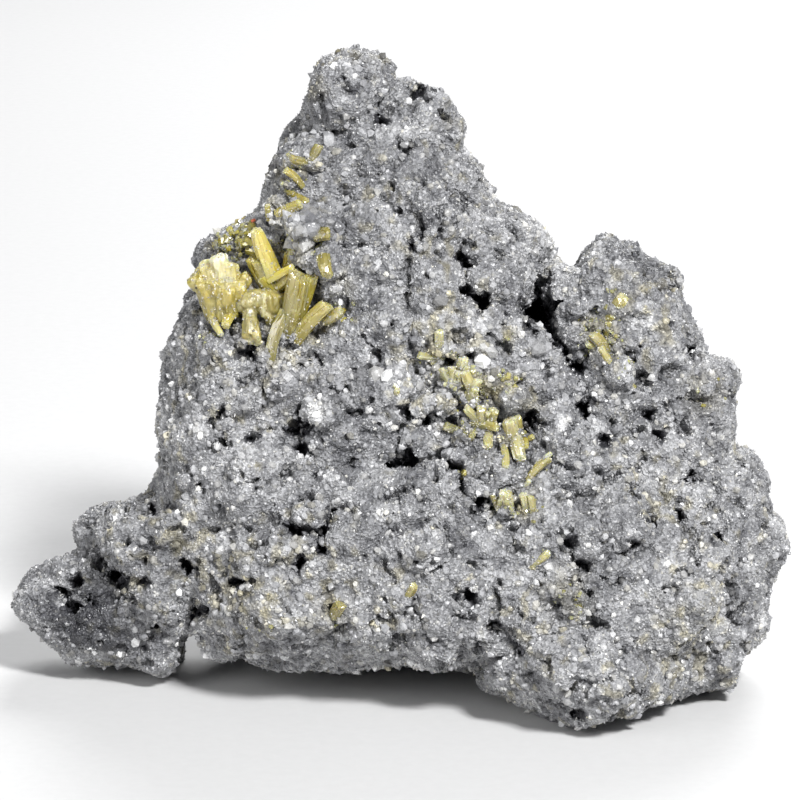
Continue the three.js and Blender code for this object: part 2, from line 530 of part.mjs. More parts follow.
// The place for a merged edge: where the quadric is least, or else its best end or middle.
function bestPlace(q, p0, p1) {
  const middle = p0.clone().add(p1).multiplyScalar(0.5);
  const system = new THREE.Matrix3().set(q[0], q[1], q[2], q[1], q[4], q[5], q[2], q[5], q[7]);
  const choices = [p0, p1, middle];
  if (Math.abs(system.determinant()) > 1e-4) {
    const least = new THREE.Vector3(-q[3], -q[6], -q[8]).applyMatrix3(system.invert());
    if (least.distanceTo(middle) < p0.distanceTo(p1)) choices.push(least);
  }
  return choices.reduce((a, b) => (quadricError(q, b) < quadricError(q, a) ? b : a)).clone();
}

// Merges edges, the flattest first, until a given number of triangles is left or no edge can go
// without changing the shape by more than a given error.
function simplify(mesh, target, limit = Infinity) {
  const points = mesh.points.map((place) => new THREE.Vector3(...place));
  let triangles = mesh.triangles.map((triangle) => [...triangle]);
  const quadrics = points.map(() => new Array(10).fill(0));
  for (const triangle of triangles) {
    const plane = planeQuadric(...triangle.map((index) => points[index]));
    for (const index of triangle) plane.forEach((value, k) => { quadrics[index][k] += value; });
  }
  while (triangles.length > target) {
    const around = points.map(() => []);
    const edges = new Map();
    triangles.forEach((triangle, number) => {
      triangle.forEach((a, corner) => {
        const b = triangle[(corner + 1) % 3];
        around[a].push(number);
        if (a < b) edges.set(a * points.length + b, [a, b]);
      });
    });
    const ranked = [...edges.values()].map(([a, b]) => {
      const quadric = quadrics[a].map((value, k) => value + quadrics[b][k]);
      const place = bestPlace(quadric, points[a], points[b]);
      const error = quadricError(quadric, place);
      const length = points[a].distanceTo(points[b]);
      return { a, b, quadric, place, error, cost: error + 1e-4 * length * length };
    }).filter(({ error }) => error < limit);
    ranked.sort((one, two) => one.cost - two.cost);
    const touched = new Uint8Array(points.length);
    const before = triangles.length;
    let left = before;
    const enough = Math.max(target, before - ranked.length / 12);
    for (const { a, b, quadric, place } of ranked) {
      if (left <= enough) break;
      if (touched[a] || touched[b]) continue;
      const ringOf = (centre) => new Set(around[centre].flatMap((t) => triangles[t]));
      const ringA = ringOf(a);
      const ringB = ringOf(b);
      const shared = [...ringA].filter((index) => ringB.has(index) && index !== a && index !== b);
      if (shared.length !== 2) continue;
      const kept = [...around[a], ...around[b]].filter((t) => {
        return !(triangles[t].includes(a) && triangles[t].includes(b));
      });
      const folds = kept.some((t) => {
        const old = triangles[t].map((index) => points[index]);
        const moved = triangles[t].map((index) => (index === a || index === b ? place : points[index]));
        return foldsOver(old, moved);
      });
      if (folds) continue;
      points[a] = place;
      quadrics[a] = quadric;
      for (const t of around[b]) triangles[t] = triangles[t].map((index) => (index === b ? a : index));
      for (const index of ringA) touched[index] = 1;
      for (const index of ringB) touched[index] = 1;
      left -= 2;
    }
    triangles = triangles.filter(([a, b, c]) => a !== b && b !== c && c !== a);
    if (triangles.length === before) break;
  }
  return { points: points.map((point) => point.toArray()), triangles };
}

// Whether moving a corner would turn a triangle over or make a sliver of it.
function foldsOver(old, moved) {
  const normalOf = ([p, q, r]) => q.clone().sub(p).cross(r.clone().sub(p));
  const fatness = ([p, q, r], normal) => normal.length()
    / Math.max(p.distanceToSquared(q), q.distanceToSquared(r), r.distanceToSquared(p));
  const was = normalOf(old);
  const now = normalOf(moved);
  if (was.dot(now) < 0.2 * was.length() * now.length()) return true;
  return fatness(moved, now) < Math.min(0.1, 0.8 * fatness(old, was));
}

// --- Solids ---------------------------------------------------------------------------------

function solidFromMesh({ points, triangles }) {
  return new wasm.Manifold(new wasm.Mesh({
    numProp: 3,
    vertProperties: new Float32Array(points.flat()),
    triVerts: new Uint32Array(triangles.flat()),
  }));
}

function solidFromGeometry(geometry) {
  geometry.deleteAttribute('normal');
  geometry.deleteAttribute('uv');
  const merged = mergeVertices(geometry, 1e-4);
  return new wasm.Manifold(new wasm.Mesh({
    numProp: 3,
    vertProperties: merged.attributes.position.array,
    triVerts: Uint32Array.from(merged.index.array),
  }));
}

function meshFromSolid(solid) {
  const { vertProperties, triVerts } = solid.getMesh();
  const points = [];
  const triangles = [];
  for (let i = 0; i < vertProperties.length; i += 3) points.push([...vertProperties.slice(i, i + 3)]);
  for (let i = 0; i < triVerts.length; i += 3) triangles.push([...triVerts.slice(i, i + 3)]);
  return { points, triangles };
}

function geometryFromMesh({ points, triangles }) {
  const geometry = new THREE.BufferGeometry();
  geometry.setAttribute('position', new THREE.Float32BufferAttribute(points.flat(), 3));
  geometry.setIndex(triangles.flat());
  return geometry;
}

// A six-sided solid along a line, from its radii at the two ends and the width of its bevel.
function hexPrism(base, tip, baseRadius, tipRadius, bevel, spin) {
  const length = base.distanceTo(tip);
  const rim = [tipRadius - bevel, length];
  const profile = [[0, 0], [baseRadius, 0], [tipRadius, length - bevel], rim, [0, length]];
  if (bevel === 0) profile.splice(2, 1);
  const geometry = new THREE.LatheGeometry(profile.map((xy) => new THREE.Vector2(...xy)), 6, spin);
  const axis = tip.clone().sub(base).normalize();
  const turn = new THREE.Quaternion().setFromUnitVectors(new THREE.Vector3(0, 1, 0), axis);
  geometry.applyQuaternion(turn);
  geometry.translate(base.x, base.y, base.z);
  return solidFromGeometry(geometry);
}

// The crystals of one mimetite group, grown together into one solid.
function crystalGroup(crystals) {
  return crystals.map((crystal, index) => {
    const radius = crystal.width / 2;
    const bevel = crystal.width >= BEVELLED_WIDTH ? 0.3 * crystal.width : 0;
    const [base, tip] = [specimenPoint(crystal.base), specimenPoint(crystal.tip)];
    return hexPrism(base, tip, radius, radius, bevel, 0.5 * index);
  }).reduce((group, solid) => group.add(solid));
}

// The socket of a few crystals: one flared six-sided hole that clears all of them.
function socketOf(crystals) {
  const ends = ['base', 'tip'].map((end) => crystals.map((crystal) => specimenPoint(crystal[end])));
  const [base, tip] = ends.map((places) => places
    .reduce((sum, place) => sum.add(place), new THREE.Vector3()).divideScalar(crystals.length));
  const axis = tip.clone().sub(base).normalize();
  const along = (place) => place.clone().sub(base).dot(axis);
  const reach = (places) => Math.max(...places.map((place, index) => {
    const away = place.clone().sub(base).addScaledVector(axis, -along(place)).length();
    return away + crystals[index].width / 2;
  }));
  const shared = crystals.length > 1;
  const splay = shared ? Math.max(...crystals.map(({ width }) => width / 2)) : 0;
  const low = Math.min(...ends[0].map(along)) - SEAT_GAP - splay;
  const high = Math.max(...ends[1].map(along)) + SEAT_GAP;
  const corner = shared ? 1 / Math.cos(Math.PI / 6) : 1;
  const radii = ends.map((places) => (reach(places) + SEAT_GAP) * corner);
  const from = base.clone().addScaledVector(axis, low);
  const to = base.clone().addScaledVector(axis, high);
  return hexPrism(from, to, ...radii, 0, 0);
}

// Everything below the surface that the specimen stands on.
function underfoot() {
  const depth = 20;
  const slab = new THREE.BoxGeometry(160, 160, depth);
  slab.translate(0, 0, -depth / 2);
  return solidFromGeometry(slab);
}

// The lump with its sockets, its flat stretches merged, and standing on flat feet.
function buildMatrix(groups) {
  const lump = simplify(largestBody(meshField([-36, -3, -36], [37, 62, 12])), LUMP_TRIANGLES);
  lump.points = lump.points.map((place) => specimenPoint(place).toArray());
  let solid = solidFromMesh(lump);
  for (const crystals of Object.values(groups)) {
    for (const bundle of new Set(crystals.map((crystal) => crystal.bundle))) {
      solid = solid.subtract(socketOf(crystals.filter((crystal) => crystal.bundle === bundle)));
    }
  }
  const merged = simplify(largestBody(meshFromSolid(solid)), 0, SLIGHT);
  return largestBody(meshFromSolid(solidFromMesh(merged).subtract(underfoot())));
}

function buildCrystals(crystals) {
  return simplify(meshFromSolid(crystalGroup(crystals)), 0, SLIGHT);
}

function namedMesh(name, mesh, finish) {
  const result = new THREE.Mesh(geometryFromMesh(mesh), new THREE.MeshStandardMaterial(finish));
  result.name = name;
  return result;
}

// --- The specimen ---------------------------------------------------------------------------

const specimen = new THREE.Group();
specimen.add(namedMesh('matrix', buildMatrix(CRYSTALS), MATRIX));
for (const [name, crystals] of Object.entries(CRYSTALS)) {
  specimen.add(namedMesh(name, buildCrystals(crystals), MIMETITE));
}

specimen.position.set(-BOX_MIDDLE.x, -BOX_MIDDLE.y, 0);

export default specimen;
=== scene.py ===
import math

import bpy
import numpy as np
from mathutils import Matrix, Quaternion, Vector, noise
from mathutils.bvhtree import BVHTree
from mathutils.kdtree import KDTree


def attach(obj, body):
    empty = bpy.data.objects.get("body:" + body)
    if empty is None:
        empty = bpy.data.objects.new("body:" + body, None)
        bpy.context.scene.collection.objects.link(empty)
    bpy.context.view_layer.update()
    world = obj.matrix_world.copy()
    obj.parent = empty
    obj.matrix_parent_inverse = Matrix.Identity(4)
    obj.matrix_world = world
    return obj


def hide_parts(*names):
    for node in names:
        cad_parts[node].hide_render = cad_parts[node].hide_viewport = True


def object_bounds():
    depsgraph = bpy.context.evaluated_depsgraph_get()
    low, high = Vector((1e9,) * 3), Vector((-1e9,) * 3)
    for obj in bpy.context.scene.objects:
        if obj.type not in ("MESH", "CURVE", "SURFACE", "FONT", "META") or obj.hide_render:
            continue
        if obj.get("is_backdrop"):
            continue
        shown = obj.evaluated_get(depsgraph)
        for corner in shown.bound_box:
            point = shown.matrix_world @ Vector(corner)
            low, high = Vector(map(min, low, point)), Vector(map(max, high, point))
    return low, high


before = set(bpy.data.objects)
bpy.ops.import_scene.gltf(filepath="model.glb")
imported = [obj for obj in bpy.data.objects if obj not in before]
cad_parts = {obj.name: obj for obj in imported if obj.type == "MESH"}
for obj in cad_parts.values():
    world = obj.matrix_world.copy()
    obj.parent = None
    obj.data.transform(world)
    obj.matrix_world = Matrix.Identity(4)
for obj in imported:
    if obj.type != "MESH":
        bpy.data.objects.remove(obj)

# The looks of a mimetite specimen: a lump of drusy quartz covered with sugary grains, and fluted
# yellow mimetite prisms in place of the plain ones of the frame.
#
# Sizes are in millimetres here and turned into metres where a mesh is made. Places on the specimen
# are given in the frame of its broad face, as in the CAD source: u to the right along the face,
# w up it and d straight out of it.

cad_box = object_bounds()

MM = 0.001
LEAN = math.radians(14)  # how far the broad face leans back
BOX_MIDDLE = (0.5, 14.3)  # middle of the leaning lump's box, seen from above

SEED = 11


def face_to_row(places):
    """Places (u, w, d) in mm to places in the row frame, in metres."""
    u, w, d = np.asarray(places, float).reshape(-1, 3).T
    y = w * math.sin(LEAN) - d * math.cos(LEAN)
    z = w * math.cos(LEAN) + d * math.sin(LEAN)
    return np.column_stack([u - BOX_MIDDLE[0], y - BOX_MIDDLE[1], z]) * MM


def row_to_face(places):
    """The other way round: metres in the row frame to (u, w, d) in mm."""
    x, y, z = (np.asarray(places, float).reshape(-1, 3) / MM).T
    y = y + BOX_MIDDLE[1]
    w = y * math.sin(LEAN) + z * math.cos(LEAN)
    d = -y * math.cos(LEAN) + z * math.sin(LEAN)
    return np.column_stack([x + BOX_MIDDLE[0], w, d])


OUT_OF_FACE = np.array([0, -math.cos(LEAN), math.sin(LEAN)])
FRONT_LIMIT = -11  # d in mm, further back than the front ever lies

# The plain prisms that the frame's mimetite nodes are made of: base and tip (u, w, d), and width.
POCKET_CRYSTALS = [
    (-10.9, 37.9, -5.2, -12.4, 43, -0.4, 1.7), (-10.6, 37.2, -5.2, -12.9, 40.7, -0.2, 1.4),
    (-10.5, 38, -5, -9.1, 39.8, -0.6, 1), (-13.2, 37.2, -5.2, -16.4, 40.9, -1.2, 2.3),
    (-12.8, 37.2, -5.2, -17.8, 39, -1.6, 2.2), (-12.8, 36.8, -5.2, -17.4, 36.6, -1.3, 2.1),
    (-12.8, 36.9, -5.2, -15.4, 35.4, -0.8, 2.2), (-12.9, 37.6, -5.2, -14.4, 40.3, -0.6, 1.9),
    (-12.3, 36.6, -5.2, -13.2, 37.4, -0.6, 2.1), (-11.4, 36.8, -5.2, -11.4, 37, -0.4, 2),
    (-11.6, 35.6, -5.4, -12.7, 34, -0.6, 1.5), (-11.2, 34, -4.8, -7.6, 39.3, 0.3, 1.9),
    (-11.7, 32, -3.7, -9.3, 36.3, -1.4, 1.3), (-9, 33.2, -3.6, -5.4, 36.4, 0.4, 1.4),
    (-10, 34.6, -4, -6.2, 35, 0, 1.2),
]
SMALL_CRYSTALS = [
    (-9.9, 44.2, -2.6, -8, 44.8, 0.3, 0.8), (-9.7, 44, -2.6, -10.8, 45.3, 0, 0.7),
    (-9.6, 44.2, -2.6, -8.4, 45.9, 0.2, 0.8), (-5.9, 39.8, -1.8, -5.3, 40.2, 1.3, 1),
    (-5.9, 39.9, -1.8, -6.2, 40.9, 1.2, 0.9), (-7.8, 48.7, -4.4, -9.4, 48.9, -1.4, 0.7),
    (-7.9, 48.8, -4.4, -6.8, 49.7, -1.2, 0.8), (-8.2, 46.4, -3.8, -9.9, 47.9, -1.5, 0.7),
    (1.8, 31.6, -2.6, 3.2, 32.2, 0.6, 0.7), (3, 33.4, -1.6, 3.8, 33.9, 1, 0.6),
    (4.6, 28.8, -3.4, 3.1, 30.8, -0.2, 1), (4.7, 28.9, -3.4, 4.6, 31, 0, 0.9),
    (5.2, 29.4, -3.4, 6, 31.4, 0.2, 0.9), (5.4, 28.8, -3.4, 6.8, 29.4, 0.2, 1),
    (6.4, 26, -3.6, 5.3, 27.7, -0.3, 1), (6.6, 26, -3.6, 6.9, 28, 0, 1), (6.8, 26, -3.6, 8.2, 27.2, 0.1, 1),
    (6.8, 25.8, -3.6, 8, 25.4, 0.2, 1), (6.2, 25.8, -3.6, 4.3, 26, -0.8, 0.8),
    (9.6, 25.2, -3.6, 9.2, 26.5, 0.6, 1.5), (9.8, 25, -3.6, 10.3, 25.4, 0.8, 1.5),
    (9.9, 24.4, -3.6, 10.2, 23.7, 0.6, 1.2), (8.6, 22.8, -2.2, 8.9, 23.3, 0.8, 0.8),
    (10.6, 21.2, -2.4, 12.9, 23.8, 0.6, 0.8), (8.7, 19.3, -1.8, 9.6, 20.3, 1.3, 0.9),
    (8.4, 19.2, -1.8, 7.9, 20.4, 1.2, 0.7), (11, 18.9, -1.4, 10.2, 20.6, 1.6, 0.6),
    (11.1, 18.8, -1.4, 11.6, 20.8, 1.6, 0.6), (-0.5, 28.5, -1.4, -0.3, 29.1, 1.5, 0.6),
    (18.1, 36.1, -1.8, 19, 37.1, 1.2, 1.1), (17.4, 33.2, -2.4, 16.4, 34.6, 0.6, 0.9),
    (17.6, 33.2, -2.4, 17.9, 35.3, 0.7, 0.8), (17.2, 32.8, -2.4, 15.9, 33.1, 0.3, 0.8),
    (20.3, 28.6, -1.3, 17.5, 32, 1.6, 0.7), (-5.4, 10.4, -1.4, -5, 10.8, 1.6, 1.3),
    (0.7, 11.8, -0.4, 1, 12.2, 2.6, 0.9), (11, 14.5, 0.2, 12.8, 15.2, 2.8, 0.7),
    (13.2, 11.8, 0.6, 15.8, 10.7, 3.4, 0.7),
]


# --- Materials ---


class Paint:
    """A new material, with short ways to build its nodes."""

    def __init__(self, name):
        self.material = bpy.data.materials.new(name)
        self.material.use_nodes = True

    def put(self, node, values):
        """Give a node's inputs their constants, or the outputs that feed them."""
        for socket, value in ((node.inputs[key], value) for key, value in values.items()):
            if isinstance(value, bpy.types.NodeSocket):
                self.material.node_tree.links.new(value, socket)
            else:
                socket.default_value = (*value, 1) if socket.type == "RGBA" else value
        return node

    def add(self, kind, values=None, **settings):
        node = self.material.node_tree.nodes.new("ShaderNode" + kind)
        for key, value in settings.items():
            setattr(node, key, value)
        return self.put(node, values or {})

    def finish(self, values):
        self.put(self.material.node_tree.nodes["Principled BSDF"], values)
        return self.material

    def place(self):
        return self.add("TexCoord").outputs["Object"]

    def attribute(self, name, output="Fac"):
        return self.add("Attribute", attribute_name=name).outputs[output]

    def noise(self, scale, detail):
        """Noise over the object, with its scale in cycles per metre."""
        values = {"Scale": scale, "Detail": detail, "Roughness": 0.6, "Vector": self.place()}
        return self.add("TexNoise", values).outputs["Fac"]

    def ramp(self, source, stops):
        """A colour ramp driven by a socket; stops are (place, grey or colour)."""
        node = self.add("ValToRGB", {"Fac": source})
        elements = node.color_ramp.elements
        while len(elements) < len(stops):
            elements.new(0.5)
        for element, (place, colour) in zip(elements, stops):
            element.position = place
            element.color = (*np.broadcast_to(colour, 3), 1)
        return node.outputs["Color"]

    def mix(self, factor, first, second, blend="MULTIPLY"):
        node = self.add("Mix", {"Factor": factor}, data_type="RGBA", blend_type=blend)
        low, high = (i for i, socket in enumerate(node.inputs) if socket.type == "RGBA")
        self.put(node, {low: first, high: second})
        return next(socket for socket in node.outputs if socket.type == "RGBA")

    def bump(self, height, strength, distance):
        values = {"Strength": strength, "Distance": distance, "Height": height}
        return self.add("Bump", values).outputs["Normal"]


# Cycles per metre of the quartz's mottle and finest sugar, and of the milky clouds in the mimetite.
MOTTLE_SCALE, SUGAR_SCALE, CLOUD_SCALE = 2600, 4200, 1500

# Quartz from dark to white, and what golden quartz keeps of the light against grey quartz.
QUARTZ_TONES = [
    (0, (0.04, 0.04, 0.047)),
    (0.25, (0.085, 0.086, 0.096)),
    (0.5, (0.25, 0.252, 0.265)),
    (0.75, (0.5, 0.502, 0.515)),
    (1, (0.88, 0.88, 0.88)),
]
WARM_TINT = (1, 0.9, 0.56)


def quartz_material(name, roughness, sugar_depth, least_shade):
    """Grey quartz: tone and golden tint come from the mesh, with a mottle and shaded sugar on top."""
    paint = Paint(name)
    mottle = paint.noise(MOTTLE_SCALE, 4)
    grey = paint.ramp(paint.attribute("tone"), QUARTZ_TONES)
    golden = paint.mix(paint.attribute("warm"), grey, WARM_TINT)
    mottled = paint.mix(1, golden, paint.ramp(mottle, [(0.3, 0.72), (0.7, 1)]))
    sugar = paint.add("TexVoronoi", {"Scale": SUGAR_SCALE, "Vector": paint.place()})
    cells = paint.ramp(sugar.outputs["Color"], [(0.25, least_shade), (0.75, 1)])
    return paint.finish({
        "Base Color": paint.mix(1, mottled, cells),
        "Roughness": paint.ramp(mottle, [(0.35, roughness - 0.12), (0.65, roughness + 0.12)]),
        "Normal": paint.bump(sugar.outputs["Distance"], sugar_depth, 0.2 * MM),
        "IOR": 1.55,
    })


# Mimetite from dark to bright: yellow where it is dense, pale grey-green where it is thin and glassy.
YELLOW_TONES = [
    (0, (0.12, 0.098, 0.014)),
    (0.3, (0.34, 0.282, 0.026)),
    (0.5, (0.54, 0.428, 0.046)),
    (0.7, (0.76, 0.622, 0.11)),
    (1, (0.9, 0.785, 0.24)),
]
PALE_TONES = [
    (0, (0.155, 0.148, 0.088)),
    (0.3, (0.295, 0.284, 0.168)),
    (0.5, (0.425, 0.408, 0.246)),
    (0.7, (0.62, 0.602, 0.388)),
    (1, (0.86, 0.845, 0.64)),
]
STREAK_TINT = (0.84, 0.80, 0.62)
MILK_COLOUR = (0.86, 0.83, 0.50)


def mimetite_material(name, least_roughness, milkiness):
    """Resinous, translucent yellow: the colours come from the mesh, with streaks along the prisms."""
    paint = Paint(name)
    streak = paint.add("TexNoise", {"Scale": 5, "Detail": 4, "Vector": paint.attribute("streak", "Vector")})
    streak = streak.outputs["Fac"]
    cloud = paint.noise(CLOUD_SCALE, 3)
    dense = paint.ramp(paint.attribute("tone"), YELLOW_TONES)
    thin = paint.ramp(paint.attribute("tone"), PALE_TONES)
    body = paint.mix(paint.attribute("pale"), dense, thin, "MIX")
    streaked = paint.mix(1, body, paint.ramp(streak, [(0.32, STREAK_TINT), (0.60, 1)]))
    milk = paint.ramp(cloud, [(0.55, 0), (0.80, milkiness)])
    return paint.finish({
        "Base Color": paint.mix(milk, streaked, MILK_COLOUR, "MIX"),
        "Roughness": paint.ramp(cloud, [(0.35, least_roughness), (0.7, least_roughness + 0.18)]),
        "Normal": paint.bump(streak, 0.5, 0.1 * MM),
        "IOR": 2.1,
        "Transmission Weight": 0.25,
        "Subsurface Weight": 0.5,
        "Subsurface Radius": (1.0, 0.75, 0.12),
        "Subsurface Scale": 1.5 * MM,
    })


def plain_material(name, scale, detail, low, high, roughness):
    """One colour, varied a little by noise of the given scale."""
    paint = Paint(name)
    colour = paint.ramp(paint.noise(scale, detail), [(0.3, low), (0.7, high)])
    return paint.finish({"Base Color": colour, "Roughness": roughness})


# --- Meshes ---


def new_object(name, data):
    """A mesh, a light or a camera put in the scene."""
    thing = bpy.data.objects.new(name, data)
    bpy.context.scene.collection.objects.link(thing)
    return thing


def new_piece(name, vertices, faces, material, attributes=None, smooth=False):
    """A mesh object: places in metres, faces, and the values at each vertex."""
    mesh = bpy.data.meshes.new(name)
    mesh.from_pydata(vertices, [], faces, shade_flat=not smooth)
    for key, values in (attributes or {}).items():
        values = np.asarray(values, np.float32)
        kind, field = ("FLOAT", "value") if values.ndim == 1 else ("FLOAT_VECTOR", "vector")
        mesh.attributes.new(key, kind, "POINT").data.foreach_set(field, values.ravel())
    mesh.materials.append(material)
    return new_object(name, mesh)


def dress(piece, replaced=None):
    """Tie a piece to the frame: it rides on the only body, and may be seen in place of a node."""
    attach(piece, "root")
    if replaced:
        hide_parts(replaced)


def across_quads(vertices, quads):
    """For each quad a vector along its normal, twice as long as its area."""
    a, b, c, d = (vertices[quads[:, i]] for i in range(4))
    return np.cross(c - a, d - b)


def vertex_normals(vertices, quads):
    across = across_quads(vertices, quads)
    normals = np.zeros_like(vertices)
    for i in range(4):
        np.add.at(normals, quads[:, i], across)
    return normals / np.maximum(np.linalg.norm(normals, axis=1, keepdims=True), 1e-12)


def frames_along(axes, spin):
    """Rotation matrices that turn +Z to each axis, after a turn by spin about it."""
    helper = np.where(np.abs(axes[:, :1]) > 0.8, [[0.0, 1.0, 0.0]], [[1.0, 0.0, 0.0]])
    first = np.cross(helper, axes)
    first /= np.linalg.norm(first, axis=1, keepdims=True)
    second = np.cross(axes, first)
    x = first * np.cos(spin)[:, None] + second * np.sin(spin)[:, None]
    y = np.cross(axes, x)
    return np.stack([x, y, axes], axis=2)


def relaxed(vertices, quads, passes):
    """The mesh smoothed without shrinking: each pass in is followed by a slightly longer one out."""
    start, end = quads.ravel(), np.roll(quads, -1, axis=1).ravel()
    first, second = np.concatenate([start, end]), np.concatenate([end, start])
    degree = np.bincount(first, minlength=len(vertices))[:, None]
    for turn in range(2 * passes):
        total = np.column_stack([np.bincount(first, vertices[second, i], len(vertices)) for i in range(3)])
        vertices = vertices + (0.5, -0.52)[turn % 2] * (total / degree - vertices)
    return vertices


def in_fixed_order(vertices, quads):
    """Vertices and faces sorted by place, since a remesh may list them in any order."""
    order = np.lexsort(vertices.T)
    rank = np.empty(len(order), int)
    rank[order] = np.arange(len(order))
    quads = rank[quads]
    turned = (quads.argmin(axis=1)[:, None] + np.arange(4)) % 4
    quads = np.take_along_axis(quads, turned, axis=1)
    return vertices[order], quads[np.lexsort(quads.T[::-1])]


def remeshed(points, faces, size):
    """The outside of some solids as even small quads, of the given size in mm."""
    mesh = bpy.data.meshes.new("remesh_source")
    mesh.from_pydata(points, [], faces)
    solid = new_object("remesh_source", mesh)
    remesh = solid.modifiers.new("even", "REMESH")
    remesh.mode = "VOXEL"
    remesh.voxel_size = size * MM
    even = solid.evaluated_get(bpy.context.evaluated_depsgraph_get()).data
    vertices = np.array([vertex.co[:] for vertex in even.vertices])
    quads = np.array([face.vertices[:] for face in even.polygons])
    bpy.data.objects.remove(solid)
    return in_fixed_order(vertices, quads)


def broad_noise(places, size, offset):
    """Noise of the given size in mm at each place, offset so that no two are alike."""
    return np.array([noise.noise(Vector(place) / size + Vector(offset)) for place in places])


# --- The lump ---

VOXEL = 0.27  # mm, cells of the base mesh
SMOOTHING = 14  # passes that take the facets off the frame's solid

# Plugs that fill the frame's sockets, with distances in mm.
SOCKET_FILL = 1.1  # from a small crystal's tip down to where its filled socket ends
PLUG_SIDES = 8
PLUG_ROOT = 0.15  # start of a plug below its crystal, as a share of its length
PLUG_EASE = (0.6, 0.5)  # how far its base and tip stand out past the crystal's side
WALL_REACH = 1.0  # how far out the socket's wall is looked for
LEAST_WALLS = 5  # sides on which rock has to be met


def bare_axis(surface, base, tip, width):
    """How far along its axis, from 0 to 1, a crystal leaves the wall of its socket."""
    base, tip = (Vector(face_to_row([end])[0]) for end in (base, tip))
    along = tip - base
    across = along.orthogonal().normalized()
    reach = (width / 2 + WALL_REACH) * MM
    for share in np.arange(4, 24) / 24:
        place = base + along * share
        walls = 0
        for turn in range(PLUG_SIDES):
            side = across.copy()
            side.rotate(Quaternion(along, turn * 2 * math.pi / PLUG_SIDES))
            walls += surface.ray_cast(place, side, reach)[0] is not None
        if walls < LEAST_WALLS:
            return share
    return 1


def plug_prism(base, tip, width):
    """Corners and faces of a closed prism between two places in metres."""
    turn = frames_along(((tip - base) / np.linalg.norm(tip - base))[None], np.zeros(1))[0]
    points = []
    for place, ease in zip((base, tip), PLUG_EASE):
        for i in range(PLUG_SIDES):
            angle = i * 2 * math.pi / PLUG_SIDES
            corner = np.array([math.cos(angle), math.sin(angle), 0])
            points.append(place + turn @ ((width / 2 + ease) * MM * corner))
    around = [(i, (i + 1) % PLUG_SIDES) for i in range(PLUG_SIDES)]
    faces = [[i for i, _ in reversed(around)], [PLUG_SIDES + i for i, _ in around]]
    faces += [[i, j, PLUG_SIDES + j, PLUG_SIDES + i] for i, j in around]
    return points, faces


def socket_plugs(source):
    """Prisms that fill the sockets of the frame's matrix up to where the crystals leave it."""
    surface = BVHTree.FromObject(source, bpy.context.evaluated_depsgraph_get())
    for i, (*ends, width) in enumerate(POCKET_CRYSTALS + SMALL_CRYSTALS):
        base, tip = np.reshape(ends, (2, 3))
        length = tip - base
        share = bare_axis(surface, base, tip, width)
        if i >= len(POCKET_CRYSTALS):
            share = max(share, 1 - SOCKET_FILL / np.linalg.norm(length))
        yield plug_prism(*face_to_row([base - PLUG_ROOT * length, base + share * length]), width)


def remeshed_lump():
    """The frame's matrix solid as an even mesh of small quads, with its facets smoothed off."""
    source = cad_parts["matrix"]
    points = [vertex.co for vertex in source.data.vertices]
    faces = [list(face.vertices) for face in source.data.polygons]
    for corners, sides in socket_plugs(source):
        faces += [[len(points) + i for i in side] for side in sides]
        points += corners
    vertices, quads = remeshed(points, faces, VOXEL)
    return relaxed(vertices, quads, SMOOTHING), quads


# Rounded lumps on the base mesh: size and height in mm, and weight in how openly a place lies.
LUMPS = [(3.4, 0.55, 0.15), (1.6, 0.55, 0.45), (0.75, 0.30, 0.40)]
LUMP_EDGE = 0.85  # where a lump ends, against its size
LUMP_SINK = 0.45  # share of the lumps' height that lies below the solid's surface
LUMP_BEND = (1.1, 0.45)  # size of the noise that bends the lumps, and how far it does
OPEN_GAIN = 1.25  # so that the upper part of a lump already lies in the open

# Ragged cavities among the lumps: size and depth in mm, the noise at which they begin, how much more
# of it makes their full depth, and the noise (size, strength) that frays them.
CAVITIES = {"size": 1.5, "depth": 1.3, "least": 0.34, "slope": 0.22, "more": ((0.55, 0.4), (8, 0.2))}


def dome(distance):
    return math.sqrt(max(0.0, 1 - (distance / LUMP_EDGE) ** 2))


def cavity_share(point, bent):
    """How much of a cavity's full depth there is at a place, from 0 to 1."""
    gap = noise.noise(bent / CAVITIES["size"])
    for size, strength in CAVITIES["more"]:
        gap += strength * noise.noise(point / size)
    return min(1, max(0, gap - CAVITIES["least"]) / CAVITIES["slope"])


def lump_relief(places):
    """How far each place (u, w, d) is pushed out, and from 0 to 1 how much it lies in the open."""
    push = np.zeros(len(places))
    open_share = np.ones(len(places))
    bend_size, bend = LUMP_BEND
    for i, place in enumerate(places):
        point = Vector(place)
        bent = point + bend * noise.noise_vector(point / bend_size)
        domes = [dome(noise.voronoi(bent / size)[0][0]) for size, _, _ in LUMPS]
        push[i] = sum(height * (value - LUMP_SINK) for value, (_, height, _) in zip(domes, LUMPS))
        push[i] -= CAVITIES["depth"] * cavity_share(point, bent)
        open_share[i] = min(1, sum(part * value for value, (_, _, part) in zip(domes, LUMPS)) * OPEN_GAIN)
    return push, open_share


